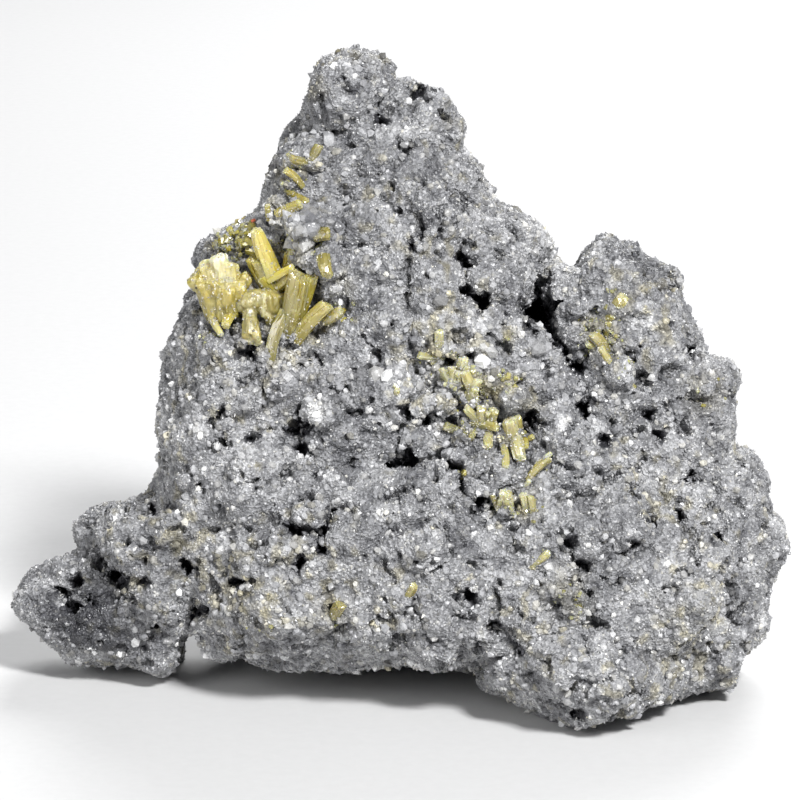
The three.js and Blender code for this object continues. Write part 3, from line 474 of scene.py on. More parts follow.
# Pits seen in the broad face: for each radius and depth in mm, where they are (u, w).
PITS = {
    (0.45, 1.6): [(1.1, 41.7)],
    (0.5, 1.5): [
        (17.3, 24.7), (21.3, 27.2), (22.2, 25.2), (23.9, 18.4), (15.2, 2), (-12.6, 25), (-15.2, 27.4),
    ],
    (0.5, 1.6): [(21.3, 17.9), (19.7, 16.2), (14.5, 16.4), (-8.9, 14), (10.4, 7)],
    (0.5, 1.8): [
        (20, 32.6), (-0.6, 22.5), (-6.7, 15.4), (-5.9, 18.6), (-26.7, 10.8), (-25.9, 14.4), (-21.8, 12.6),
        (-21.2, 18.4), (-21.3, 9), (-22.2, 7.1),
    ],
    (0.5, 2): [(-9.2, 17.2), (-17.3, 9.9)],
    (0.6, 1.6): [(8, 9.4), (-1.6, 52.3)],
    (0.6, 1.8): [(24.8, 32.5), (26.9, 16.2), (15.6, 14.8), (-8.2, 23.9), (1.4, 54.5)],
    (0.6, 2): [(0.4, 27.6), (-23.9, 12.4)],
    (0.6, 2.2): [
        (5.5, 37.4), (-8.3, 17.1), (-7, 17), (4.8, 22.6), (6.9, 19.6), (4.3, 26.4), (-29.4, 11.4),
        (-28.3, 10), (-28.1, 12.4),
    ],
    (0.6, 2.4): [(-18.4, 14), (5.4, 20.9)],
    (0.6, 3): [(14.2, 32.1), (15.2, 31.1)],
    (0.7, 1.6): [(-13.2, 12.7)],
    (0.7, 1.8): [(5.8, 11.7)],
    (0.7, 2): [(24.8, 21.6)],
    (0.7, 2.2): [(0.4, 23.1)],
    (0.7, 2.4): [(5.2, 40.2), (2.4, 27)],
    (0.7, 3): [(15.7, 26.7)],
    (0.8, 2.2): [(-8.5, 26.8), (-8.5, 25.8)],
    (0.8, 2.4): [(11.1, 26.6), (-13, 32.4), (-24.5, 13.3)],
    (0.8, 2.6): [(7.1, 36.6)],
    (0.8, 3.2): [(15.7, 27.6)],
    (0.8, 4): [(13.4, 33.5)],
    (1.7, 6): [(11.9, 35.8)],
}
PIT_WIDER, PIT_DEEPER = 1.25, 1.2  # they are cut larger, since the grains close them in
PIT_RAGGED = (1.3, 0.6)  # sizes of the coarse and the fine noise that makes them ragged
PIT_BEND = (0.75, 0.95)  # how far it bends them: at most in mm, and as a share of the radius


def ragged(place):
    """Coarse and fine noise that bends a pit's outline."""
    coarse, fine = (noise.noise_vector(place / size) for size in PIT_RAGGED)
    return coarse + 0.5 * fine


def pit_depths(places, normals):
    """How far back each place on the front is pressed by the pits."""
    facing = np.clip(normals @ OUT_OF_FACE * 2, 0, 1)
    bend = np.array([ragged(Vector(place)) for place in places])
    press = np.zeros(len(places))
    for (radius, depth), spots in PITS.items():
        bent = places + bend * min(PIT_BEND[0], PIT_BEND[1] * radius)
        for u, w in spots:
            away = np.hypot(bent[:, 0] - u, bent[:, 1] - w) / (PIT_WIDER * radius)
            press = np.maximum(press, PIT_DEEPER * depth * np.clip(1 - away**2, 0, 1) * facing)
    return press


# Swells of the solid pressed back to lay a crystal bare: u, w, radius and depth.
DENTS = [(9.2, 23.0, 1.5, 1.7), (9.8, 24.3, 0.9, 0.8), (7.3, 24.3, 0.9, 0.9)]

# Stretches of the outline drawn in or out: u, w, radius, and how far along u and w, in mm.
NUDGES = [
    (-33, 11.3, 3, -1.1, 0), (-28.5, 6.5, 3, -0.4, -0.6), (-24.3, 19.8, 1.8, 0, -0.9),
    (-27.9, 16.8, 1.5, -0.7, 0), (-18.6, 39.3, 2.6, 0.5, 0), (5.8, 50.5, 2, -0.7, 0),
    (15, 40.5, 1.6, 0.4, -0.7), (-18.6, 6.8, 1.6, -0.8, 0.2), (-14.5, 6, 2.5, 0, 0.5),
    (19, 1.2, 2.2, 0, 0.5), (4, 5.4, 3, 0, -0.4), (28.6, 33, 1.5, -0.5, -0.3), (0.6, 55.6, 1.4, 0.2, 0.6),
    (10, 3, 2.5, 0.1, 0.4),
]

# Corners of the pocket that are filled: u, w, radius, and the d that the filling reaches.
FILLS = [
    (-7.7, 40.4, 1.7, -0.6), (-5.6, 37.9, 1.7, -1), (-13.5, 34.5, 1.1, -2.8), (-10.4, 34.2, 1, -2.2),
    (-5.2, 36.6, 0.9, -1.2),
]
FILL_SLOPE, FILL_EDGE = 4, 1.2  # mm that a filling falls away by at its radius, and where it ends


def nearness(places, u, w, radius):
    return np.exp(-((places[:, 0] - u) ** 2 + (places[:, 1] - w) ** 2) / radius**2)


def nudged(places):
    """The places with the outline drawn in or out, the swells pressed back and the corners filled."""
    moved = places.copy()
    for u, w, radius, du, dw in NUDGES:
        near = nearness(places, u, w, radius)
        moved[:, 0] += du * near
        moved[:, 1] += dw * near
    for u, w, radius, depth in DENTS:
        moved[:, 2] -= depth * nearness(moved, u, w, radius) * (moved[:, 2] > FRONT_LIMIT)
    for u, w, radius, level in FILLS:
        away = ((moved[:, 0] - u) ** 2 + (moved[:, 1] - w) ** 2) / radius**2
        filled = np.maximum(moved[:, 2], level - FILL_SLOPE * away)
        moved[:, 2] = np.where((away < FILL_EDGE) & (moved[:, 2] > FRONT_LIMIT), filled, moved[:, 2])
    return moved


PIT_SHADE = 0.8  # depth at which a place in a pit is wholly in painted shade
CAVITY_SHADE = (0.8, 0.6)  # depth at which a cavity's painted shade begins, and what more makes it full


def sculpted_lump():
    """Vertices and quads of the lump's skin, and how openly each vertex lies, lowered in pits and cavities
    for painted shade.
    """
    vertices, quads = remeshed_lump()
    places = nudged(row_to_face(vertices))
    vertices = face_to_row(places)
    normals = vertex_normals(vertices, quads)
    push, open_share = lump_relief(places)
    press = pit_depths(places, normals)
    vertices = vertices + normals * push[:, None] * MM - OUT_OF_FACE * press[:, None] * MM
    vertices[:, 2] = np.maximum(vertices[:, 2], 0)
    # Pits and cavities lower the openness: this paints shade into the tone there and thins the grains.
    shade_start, shade_depth = CAVITY_SHADE
    open_share *= np.clip(1 - press / PIT_SHADE, 0, 1) * np.clip(1 + (push + shade_start) / shade_depth, 0, 1)
    return vertices, quads, open_share


# --- Grains ---

# Kinds of grain: how many, their half-widths in mm, whether a short prism is under their point, and how
# long they are against their width. Their values (level, spread) are the surface's unless given here.
GRAIN_KINDS = [
    {"name": "quartz_grains_coarse", "count": 5000, "size": (0.20, 0.38), "prism": True},
    {"name": "quartz_grains_medium", "count": 24000, "size": (0.12, 0.21)},
    {"name": "quartz_grains_fine_a", "count": 25600, "size": (0.07, 0.13)},
    {"name": "quartz_grains_fine_b", "count": 25600, "size": (0.07, 0.13)},
]
BLOCKS = {"name": "quartz_blocks", "count": 60, "size": (0.40, 0.75), "prism": True}
DUST = {"name": "quartz_dust", "count": 2400, "size": (0.05, 0.15),
        "values": {"tone": (0.74, 0.12), "warm": (0.5, 0.2)}}
CHIPS = {"name": "mimetite_chips", "count": 700, "size": (0.09, 0.22), "prism": True, "long": 2.2,
         "values": {"tone": (0.50, 0.12), "pale": (0.9, 0.2)}}
STOUT_CHIPS = {"name": "mimetite_stout_chips", "count": 70, "size": (0.22, 0.42), "prism": True, "long": 1.8,
               "values": {"tone": (0.40, 0.10), "pale": (0.4, 0.2)}}

FRONT_SHARE = 3.0  # grains on the broad face for each one on the same area behind
FOOT_HEIGHT = 0.4  # flat undersides below this height carry no grains
POINT, BLUNT_POINT = 1.25, 0.5  # height of a grain's point, against its half-width
GRAIN_FOOT, GRAIN_SHOULDER = -0.7, 0.35
GRAIN_LEAN = 0.5  # spread of the lean away from the surface's normal
LEAST_RISE = 0.2  # grains that lean further over than this stand up straight
SMALLNESS = 1.6  # how far small grains outnumber large ones, 1 being not at all
STRETCH = ((0.8, 0.75, 0.6), (1.2, 1.1, 1.2))
UNEVENNESS = 0.14
# A few grains are painted lighter as painted glints: their share, and the tone they gain.
PAINTED_GLINT_SHARE, PAINTED_GLINT_TONE = 0.04, 0.3


def grain_template(prism, point):
    """A six-sided grain, open below where it is sunk: a point, on a short prism if it is large."""
    angles = np.arange(6) * math.pi / 3
    ring = np.column_stack([np.cos(angles), np.sin(angles), np.zeros(6)])
    rings = [ring + (0, 0, GRAIN_FOOT)]
    if prism:
        rings.append(ring + (0, 0, GRAIN_SHOULDER))
    points = np.concatenate([*rings, [[0, 0, point]]])
    top = 6 * (len(rings) - 1)
    apex = len(points) - 1
    around = [(i, (i + 1) % 6) for i in range(6)]
    faces = [(top + i, top + j, apex) for i, j in around]
    if prism:
        faces += [(i, j, 6 + j) for i, j in around] + [(i, 6 + j, 6 + i) for i, j in around]
    return points, np.array(faces)


def scatter(vertices, quads, share, count, random):
    """Random places on a surface, as dense as each vertex's share says and denser on the front."""
    across = across_quads(vertices, quads)
    area = np.linalg.norm(across, axis=1) / 2
    normal = across / np.maximum(2 * area, 1e-15)[:, None]
    weight = area * (1 + (FRONT_SHARE - 1) * np.clip(normal @ OUT_OF_FACE + 0.4, 0, 1))
    weight *= share[quads[:, 0]]
    weight[(vertices[quads[:, 0], 2] < FOOT_HEIGHT * MM) & (normal[:, 2] < -0.5)] = 0
    chosen = random.choice(len(quads), count, p=weight / weight.sum())
    s, t = random.random((2, count, 1))
    parts = ((1 - s) * (1 - t), s * (1 - t), s * t, (1 - s) * t)
    place = sum(part * vertices[quads[chosen, i]] for i, part in enumerate(parts))
    return place, normal[chosen], chosen


def make_grains(kind, surface, share, values, material, random):
    """Grains all over a surface as one piece; values are (of each vertex, their spread) by name."""
    vertices, quads = surface
    count = kind["count"]
    long = kind.get("long", 1)
    template, faces = grain_template(kind.get("prism"), POINT if long == 1 else BLUNT_POINT)
    place, normal, chosen = scatter(vertices, quads, share, count, random)
    axis = normal + random.normal(0, GRAIN_LEAN * long, (count, 3))
    axis /= np.linalg.norm(axis, axis=1, keepdims=True)
    away = (axis * normal).sum(1) < LEAST_RISE
    axis[away] = normal[away]
    low, high = kind["size"]
    size = low + (high - low) * random.random(count) ** SMALLNESS
    stretch = random.uniform(*np.array(STRETCH) * (1, 1, long), (count, 3))
    turn = frames_along(axis, random.uniform(0, math.pi, count))
    local = template[None] * (stretch * size[:, None] * MM)[:, None]
    local = local * (1 + random.uniform(-UNEVENNESS, UNEVENNESS, (count, len(template), 1)))
    points = np.einsum("nij,nkj->nki", turn, local) + place[:, None]
    points[..., 2] = np.maximum(points[..., 2], 0)
    corners = faces[None] + (np.arange(count) * len(template))[:, None, None]
    # Painted glints: a few grains get extra tone.
    painted_glint = PAINTED_GLINT_TONE * (random.random(count) < PAINTED_GLINT_SHARE)
    per_vertex = {}
    for key, (level, spread) in kind.get("values", values).items():
        below = np.broadcast_to(level, len(vertices))[quads[chosen, 0]]
        own = np.clip(below + random.normal(0.02, spread, count), 0, 1)
        per_vertex[key] = np.repeat(own + painted_glint * (key == "tone"), len(template))
    return new_piece(kind["name"], points.reshape(-1, 3), corners.reshape(-1, 3), material, per_vertex)


# Soft spots on the broad face, each u, w, radius in mm and amount: paler and darker places. Some are the
# rock's own
# tone; others are painted shade and light, such as the darkened left foot and the broad lighter and darker
# stretches:
TONE_SPOTS_AND_PAINTED_SHADE = [
    (-7, 27.2, 1.15, 0.42), (-14.1, 26.9, 0.7, 0.25), (-1.2, 21.9, 1.1, 0.12), (-6, 21.7, 0.6, 0.25),
    (-5, 13.8, 0.6, 0.25), (-13.2, 12.7, 0.4, 0.55), (6.2, 11.9, 0.6, 0.35), (-23.5, 16.2, 0.8, 0.2),
    (-7.8, 43.4, 1.4, -0.03), (-9.1, 44.2, 0.3, 0.3), (-9.15, 43.3, 0.3, 0.3), (-9.2, 42.5, 0.3, 0.2),
    (-5.2, 38, 0.8, 0.3), (-4.4, 37, 0.7, 0.28), (8.3, 24.9, 0.3, 0.2), (14, 26.4, 0.6, 0.3),
    (-30.5, 9, 5.5, -0.36), (-25, 8, 4, -0.18), (-21.3, 15.5, 3.5, -0.09), (-11.5, 28.5, 2.2, -0.04),
    (20.5, 40.8, 3.2, -0.18), (-4.3, 49.5, 3, -0.08), (-4.3, 42, 3.2, -0.08), (-4.4, 55, 2.6, -0.05),
    (12.8, 41, 3.6, 0.1), (4.3, 41, 3, 0.02), (12.8, 32.5, 4, 0.06), (0, 24.5, 2.5, -0.03),
    (-21.3, 24, 4.5, 0.08), (-12.8, 24, 4, 0.07), (21, 24, 4.5, 0.05), (29, 23, 4.5, 0.05),
    (4.3, 7, 4, 0.05), (4.3, 15.5, 3.5, 0.06), (-4.3, 15.5, 3.5, -0.04), (-4.3, 7, 3.5, 0.03),
    (12.8, 7, 3.5, 0.02), (29, 11, 5, 0.03),
]

# Golden or olive quartz.
TINTS = [
    (-13.6, 42.4, 1.2, 0.9), (-16.2, 41.8, 1, 0.4), (-9, 41.2, 1.2, 0.5), (-7.2, 55, 1, 0.5),
    (3.2, 31.6, 1.6, 0.35), (9, 29.6, 1.2, 0.6), (9.4, 33.7, 0.8, 0.5), (11, 27.5, 1.5, 0.4),
    (7, 28.5, 2, 0.5), (17.2, 34, 1.8, 0.6), (19.6, 37, 1.2, 0.5), (26, 29, 2, 0.3), (-12, 10.5, 2, 0.35),
    (-6, 10, 2, 0.3), (14, 12, 2.2, 0.35), (10.5, 19.5, 1.6, 0.4), (-19.5, 16, 2, 0.2), (24, 10, 3, 0.15),
    (-4.8, 38.5, 1.2, 0.3), (-10.5, 48, 1.5, 0.3),
]

# Small mimetite prisms among the quartz.
CHIP_SPOTS = [
    (-13.6, 42.2, 1.3, 1.4), (-15.4, 41.4, 0.9, 0.9), (-13.9, 40.4, 0.7, 1), (-10.2, 41.4, 0.9, 1),
    (-7.6, 41.4, 1.2, 0.5), (-16.6, 34, 1, 0.6), (-4.6, 35.6, 0.8, 0.5), (-9.2, 44.6, 1, 0.5),
    (-8.6, 48.6, 1, 0.3), (-9.4, 46.6, 1, 0.3), (4.4, 30.6, 1.4, 1), (6.2, 29.2, 1.4, 1), (6.6, 27, 1.6, 1),
    (9.6, 25, 1.2, 1), (9, 29.7, 1, 0.6), (9.4, 33.7, 0.6, 0.4), (5.2, 22.1, 0.4, 1), (8.8, 19.6, 1.2, 0.9),
    (10.8, 19, 1, 0.8), (11.6, 22.4, 0.9, 0.5), (18.2, 36.4, 1.2, 0.7), (17, 33.8, 1.5, 1),
    (18.8, 31, 1.2, 0.4), (-12.2, 8.7, 0.6, 0.5), (-10.7, 8.9, 0.5, 0.4), (-5.2, 10.5, 0.7, 0.6),
    (14.4, 11.2, 1.2, 0.4), (0.9, 12, 0.5, 0.5), (11.8, 14.7, 0.7, 0.4), (-0.4, 28.8, 0.5, 0.5),
    (26, 29, 1.6, 0.1), (3.6, 33, 0.8, 0.4), (2.4, 32, 0.8, 0.5), (-14.6, 35, 0.8, 0.3),
]

# Larger pieces of mimetite, and large clear faces of quartz.
STOUT_SPOTS = [
    (-13.6, 42.4, 1.1, 1.6), (-13.3, 41, 0.8, 1.3), (-15.3, 41.6, 0.7, 0.8), (-9.1, 40.8, 0.6, 0.6),
    (-5.4, 35.7, 0.7, 0.8), (5.2, 22.1, 0.4, 0.8), (9.1, 29.6, 0.7, 0.4), (9.4, 33.7, 0.4, 0.4),
]
BLOCK_SPOTS = [
    (-8.3, 43.8, 1, 2), (-5.4, 42.6, 0.6, 1.5), (-8.2, 41.6, 0.9, 1.2), (-5.6, 50.5, 1, 0.5),
    (-16.9, 42.6, 0.8, 0.6), (11.9, 32.4, 0.7, 0.8), (-3.5, 31, 0.8, 0.4), (7.5, 32, 0.8, 0.4),
    (-9.5, 31, 1, 0.5), (2, 37, 1.2, 0.3), (-2, 30, 1.2, 0.3), (14.5, 29, 0.8, 0.4),
]

# The rock's tone: its least, the painted light that an open place adds, what painted shade leaves of a hidden
# one, and its noise as (size in mm, offset, strength), the drift first. Then the golden tint's noise and the
# most that it makes.
LEAST_TONE, OPEN_PAINTED_LIGHT, HIDDEN_PAINTED_SHADE = 0.205, 0.42, 0.32
TONE_NOISE = [(9, (3, 1, 7), 0.06), (3.6, (6, 5, 2), 0.1), (2, (8, 2, 5), 0.18), (0.8, (2, 6, 1), 0.16)]
SPECKLE, MOST_SPECKLE = (1.1, (1, 9, 4)), 0.55


def spotted(places, spots):
    """The sum of soft spots over the broad face."""
    total = np.zeros(len(places))
    for u, w, radius, amount in spots:
        away = np.hypot(places[:, 0] - u, places[:, 1] - w) / radius
        total += amount * np.clip(1.4 - away, 0, 1) * (places[:, 2] > FRONT_LIMIT)
    return total


def surface_tones(places, open_share):
    """Tone from 0, dark, to 1, white, holding painted shade and light, and golden tint from 0 to 1, at each
    lump vertex.
    """
    # Painted light: open places, such as the tops of lumps, are lighter.
    tone = LEAST_TONE + OPEN_PAINTED_LIGHT * open_share**0.8
    layers = [broad_noise(places, size, offset) for size, offset, _ in TONE_NOISE]
    for layer, (_, _, strength) in zip(layers, TONE_NOISE):
        tone += strength * layer
    tone += spotted(places, TONE_SPOTS_AND_PAINTED_SHADE)
    # Painted shade: hidden places, in pits, cavities and between lumps, keep only part of their tone.
    tone *= np.clip(HIDDEN_PAINTED_SHADE + open_share * 1.5, 0, 1)
    speckle = broad_noise(places, *SPECKLE)
    warm = np.clip((speckle + 0.5 * layers[0] - 0.32) * 2.0, 0, MOST_SPECKLE)
    warm = np.clip(warm + spotted(places, TINTS) * np.clip(0.8 + 2 * speckle, 0, 1), 0, 1)
    return np.clip(tone, 0, 1), warm


# --- Mimetite prisms ---

# The crisp prisms seen at each node: both ends (u, w, d), the width at each end, tone (0 dark, 1 bright),
# pallor (0 yellow, 1 grey-green) and roundness (0 six-sided, 1 round).
PRISMS = {
    "pocket_cluster": [
        (-10.8, 38.8, -2.8, -12.2, 42.7, -0.6, 1.9, 1.2, 0.7, 0.08, 0.15),
        (-10.9, 37.6, -3.4, -12.3, 40.4, -2.2, 1.8, 1.9, 0.22, 0, 0.1),
        (-10.3, 37.3, -3.2, -11.9, 38.8, -2.2, 0.8, 0.9, 0.46, 0, 0.1),
        (-11.2, 38.5, -2.2, -9.2, 39.6, -0.9, 0.7, 0.7, 0.68, 0.05, 0.1),
        (-10.6, 37.9, -3.4, -9, 39.5, -2, 1.4, 1.5, 0.5, 0, 0.2),
        (-9.1, 38.6, -3.2, -9.2, 41.2, -1.9, 0.9, 1, 0.6, 0.8, 0.3),
        (-9.9, 38.8, -3.7, -9.4, 40.7, -2.6, 1.2, 1.3, 0.46, 0.05, 0.1),
        (-13.6, 37.2, -5.2, -16.4, 39.4, -4.4, 2.2, 2.4, 0.44, 0.1, 0.1),
        (-13.6, 36.4, -5, -16.4, 36.8, -4.2, 2, 2.2, 0.44, 0.1, 0.1),
        (-16.2, 35.3, -2.8, -15.3, 33.9, -1.8, 0.7, 0.6, 0.66, 0.6, 0.1),
        (-14.3, 35.7, -2.9, -14.9, 34.7, -2, 0.9, 1, 0.54, 0.3, 0.2),
        (-9.6, 34, -3.2, -8.5, 38.8, -0.4, 2, 2.3, 0.34, 0.35, 0),
        (-8.9, 34.8, -3.2, -7.5, 38.9, -0.9, 1.2, 1.4, 0.56, 0, 0),
        (-11.2, 31, -2.2, -9.8, 35.8, -1.9, 1, 1.25, 0.26, 0.4, 0),
        (-8.8, 33.4, -2.6, -6.2, 36.4, -0.2, 1.3, 1.5, 0.46, 0.3, 0),
        (-6.4, 35, -1.6, -5, 35.9, -0.4, 0.9, 1.1, 0.5, 0.65, 0.2),
    ],
    "above_pocket": [
        (-10.5, 44.2, -1.2, -8.4, 45, 0.2, 0.9, 1.1, 0.56, 0.45, 0.1),
        (-11.2, 43.7, -1.7, -11.3, 44.9, -0.5, 0.5, 0.55, 0.52, 0.5, 0.1),
        (-9.5, 46, -1.4, -8, 45.2, 0, 0.6, 0.7, 0.36, 0.3, 0.1),
    ],
    "beside_pocket": [
        (-6.5, 40.5, 0.4, -6.2, 38.9, 1.2, 1.45, 1.1, 0.34, 0.35, 0),
        (-7.2, 42.2, 0.6, -6, 42.4, 1.1, 1.1, 1.2, 0.18, 0.15, 0),
    ],
    "near_peak": [
        (-7.6, 48.7, -2, -9.3, 48.9, -1, 0.7, 0.8, 0.32, 0.5, 0.1),
        (-8, 48.5, -2, -6.9, 50, -0.9, 0.8, 0.9, 0.28, 0.5, 0.1),
    ],
    "peak_blade": [(-8.3, 46.5, -2, -9.7, 47.9, -1.1, 0.6, 0.8, 0.46, 0.4, 0.1)],
    "seam_top": [(3.5, 31.9, -0.6, 1.6, 32.1, 0.5, 0.75, 0.8, 0.5, 0.95, 0.1)],
    "seam_chip": [(3.5, 32.4, 0.3, 3.3, 34.1, 1.4, 0.75, 0.9, 0.5, 0.9, 0.2)],
    "seam_fan": [
        (4.4, 28.9, -0.82, 3.5, 31, 0.28, 0.55, 0.65, 0.6, 0.75, 0.1),
        (4.2, 29, -1.02, 3.9, 30.9, 0.18, 0.5, 0.6, 0.44, 0.7, 0.1),
        (4.9, 29.2, -0.92, 4.4, 31.1, 0.28, 0.7, 0.8, 0.62, 0.75, 0.1),
        (5.1, 30.3, -0.92, 5.4, 31.9, 0.18, 1, 1.1, 0.7, 0.95, 0.2),
        (6.3, 28.5, -0.92, 5.5, 30.7, 0.18, 1, 1.1, 0.62, 0.65, 0.2),
        (4.7, 29.6, -1.02, 5.7, 31.2, -0.02, 0.8, 0.9, 0.58, 0.65, 0.2),
        (5.7, 28.7, -0.82, 6.7, 30, 0.18, 0.8, 0.9, 0.6, 0.7, 0.2),
        (5.9, 28.2, -0.82, 6.4, 29.3, 0.28, 0.7, 0.8, 0.56, 0.85, 0.3),
        (5.3, 29.6, -0.82, 4.9, 30.6, 0.38, 0.5, 0.6, 0.56, 0.85, 0.2),
        (6.2, 29.8, -0.82, 6.2, 30.8, 0.08, 0.6, 0.6, 0.54, 0.85, 0.2),
    ],
    "seam_sheaf": [
        (6.8, 26.5, -0.92, 5.6, 27.6, 0.18, 0.7, 0.9, 0.63, 0.85, 0.2),
        (7, 26, -0.92, 6.9, 27.6, 0.08, 0.9, 1, 0.49, 0.7, 0.2),
        (7.5, 26.1, -0.92, 8, 27.4, 0.08, 0.9, 1, 0.45, 0.7, 0.2),
        (6, 26.4, -1.12, 8.2, 26, -0.12, 0.8, 0.9, 0.37, 0.55, 0.2),
        (5.6, 25.5, -1.02, 3.8, 26.1, -0.12, 0.75, 0.85, 0.19, 1, 0),
        (7.6, 25.6, -0.92, 7.5, 24.3, 0.38, 0.8, 0.9, 0.57, 0.8, 0.2),
        (6.5, 25.9, -1.12, 6, 25, -0.22, 0.6, 0.7, 0.31, 0.8, 0.3),
        (7.3, 26.6, -0.72, 7.5, 27.2, 0.48, 0.6, 0.6, 0.47, 0.8, 0.3),
    ],
    "seam_blocks": [
        (9.7, 24.9, -1.12, 9.3, 26.6, 0.18, 1.3, 1.5, 0.6, 0.7, 0.2),
        (10.1, 25.3, -1.12, 9.95, 26.8, -0.12, 0.7, 0.8, 0.5, 0.4, 0.2),
        (9.9, 25.4, -0.92, 10.2, 23.3, 0.48, 1.1, 1.2, 0.66, 0.9, 0.2),
        (10.5, 25.6, -1.12, 10.7, 24.2, -0.02, 0.6, 0.6, 0.46, 0.35, 0.2),
        (10.5, 24.8, -1.32, 11.3, 25.2, -0.52, 0.6, 0.6, 0.36, 0.35, 0.2),
    ],
    "seam_stub": [(8.8, 24.4, -0.32, 8.95, 22.6, 0.98, 0.6, 0.75, 0.6, 0.7, 0.1)],
    "seam_blade": [
        (10.8, 21.5, 0.4, 12.7, 23.4, 0.9, 0.65, 0.8, 0.48, 0.55, 0.1),
        # These two short prisms are painted near white at the blade's ends as painted highlights.
        (10.5, 20.9, 0.6, 11, 21.5, 1.2, 0.4, 0.5, 0.95, 1, 0.3),
        (12.1, 23.1, 0.7, 12.8, 23.8, 1.2, 0.4, 0.5, 0.95, 1, 0.3),
    ],
    "seam_foot": [
        (9.2, 19.1, 1.25, 8.9, 20.5, 2.25, 1.1, 1.3, 0.64, 0.9, 0.2),
        (8.2, 19.3, 1.05, 7.75, 20.4, 1.85, 0.45, 0.5, 0.44, 0.65, 0.1),
        (8.3, 19, 1.35, 8.5, 19.9, 2.15, 0.5, 0.6, 0.62, 0.75, 0.1),
    ],
    "seam_pair": [
        (10.8, 18.7, 1.18, 10.4, 20.3, 2.18, 0.7, 0.8, 0.58, 0.95, 0.1),
        (11.3, 18.3, 1.48, 11, 20.2, 2.28, 0.6, 0.7, 0.52, 0.75, 0),
    ],
    "middle_chip": [(-0.6, 28.4, 0.6, -0.2, 29.2, 1.8, 0.5, 0.55, 0.6, 0.6, 0.2)],
    "lobe_block": [(18, 36, -0.5, 18.9, 36.9, 1, 1, 1.2, 0.42, 0.45, 0)],
    "lobe_sheaf": [
        (17.7, 32.2, -0.6, 16.4, 33.9, 0.6, 0.9, 1, 0.43, 0.62, 0.2),
        (17.2, 34.9, -0.9, 18.1, 35.5, 0.4, 0.7, 0.8, 0.37, 0.62, 0.2),
        (17.3, 32.9, -0.9, 15.9, 33.1, 0.2, 0.6, 0.7, 0.51, 0.72, 0.2),
        (17.4, 33, -0.9, 17.7, 34.9, 0.3, 0.6, 0.7, 0.33, 0.52, 0.2),
    ],
    "lobe_needle": [(19.9, 29.3, -0.1, 17, 32.8, 1.2, 0.6, 0.7, 0.48, 0.6, 0.1)],
    "low_left_block": [(-5.5, 9.9, 0.2, -5, 11, 1.3, 1.1, 1.3, 0.24, 0.35, 0.1)],
    "low_middle_chip": [(0.5, 11.5, 1.6, 1.2, 12.6, 2.9, 0.7, 0.8, 0.44, 0.5, 0.2)],
    "low_right_prism": [(11.1, 14.1, 2.2, 12.5, 15.4, 3.2, 0.6, 0.75, 0.56, 0.7, 0.2)],
    "low_right_blade": [(13.3, 11.7, 2.8, 15.7, 10.6, 3.8, 0.6, 0.7, 0.36, 0.4, 0.1)],
}

# The same for what has grown together in the pocket: the blocky mass at its left, and the smooth pale
# lumps in the middle with the stout crystal that hangs below them.
LEFT_MASS = [
    (-15.2, 36.4, -4.3, -17.6, 39, -3.5, 1.7, 2.1, 0.42, 0.08, 0),
    (-14.9, 36.8, -4, -16.5, 39.9, -3, 1.7, 1.9, 0.58, 0.4, 0),
    # This prism is painted near white and pale as a painted highlight along the mass's lit top.
    (-14.8, 36.6, -3.9, -15.6, 40.6, -2.6, 1.8, 1.9, 0.84, 0.85, 0),
    (-14.5, 36.8, -4, -14.6, 40, -2.6, 1.6, 1.7, 0.64, 0.45, 0.1),
    (-15.8, 35.2, -4, -16.9, 38.4, -3, 1.9, 2, 0.34, 0, 0),
    (-15.1, 35.2, -3.4, -15.7, 38.5, -2.4, 1.9, 1.9, 0.38, 0.05, 0),
    (-14.4, 35.5, -3.4, -14.6, 37.9, -2.1, 1.7, 1.8, 0.4, 0.06, 0.1),
    (-14.2, 37.6, -3.8, -13, 38.9, -2.9, 1.1, 1.2, 0.34, 0, 0.2),
    (-14, 36.4, -3.6, -13.8, 38, -2.4, 1.4, 1.5, 0.46, 0.05, 0.2),
]
PALE_LUMPS = [
    (-12.6, 36.3, -3.2, -13, 37.1, -2.2, 2, 2.2, 0.26, 0.35, 0.4),
    (-12, 36, -3.2, -12.2, 37.3, -2.1, 1.6, 1.8, 0.24, 0.3, 0.3),
    (-13.4, 36.3, -3, -13.9, 36.4, -2.4, 1.4, 1.1, 0.3, 0.45, 0.5),
    (-10.9, 35.2, -3.2, -11, 37.4, -2.1, 1.7, 1.9, 0.24, 0.15, 0.2),
    (-10.2, 35.8, -3.3, -10.4, 37.3, -2.3, 1.3, 1.5, 0.22, 0.05, 0.2),
    (-10.9, 34.9, -3, -11.2, 35.8, -2.6, 1.2, 1.3, 0.28, 0.3, 0.4),
    # This thin ridge is painted near white: partly its own pallor, partly a painted highlight.
    (-11.75, 35.4, -2.4, -11.55, 37.3, -1.7, 0.35, 0.45, 0.7, 0.9, 0.2),
    # This small prism is painted light as a painted highlight on the stout crystal's top.
    (-12.9, 36.1, -2.3, -12.8, 35, -1.8, 0.8, 1, 0.56, 0.85, 0.2),
    (-12.9, 36, -2.6, -12.6, 33.4, -1.3, 1.1, 2, 0.38, 0.45, 0.1),
]

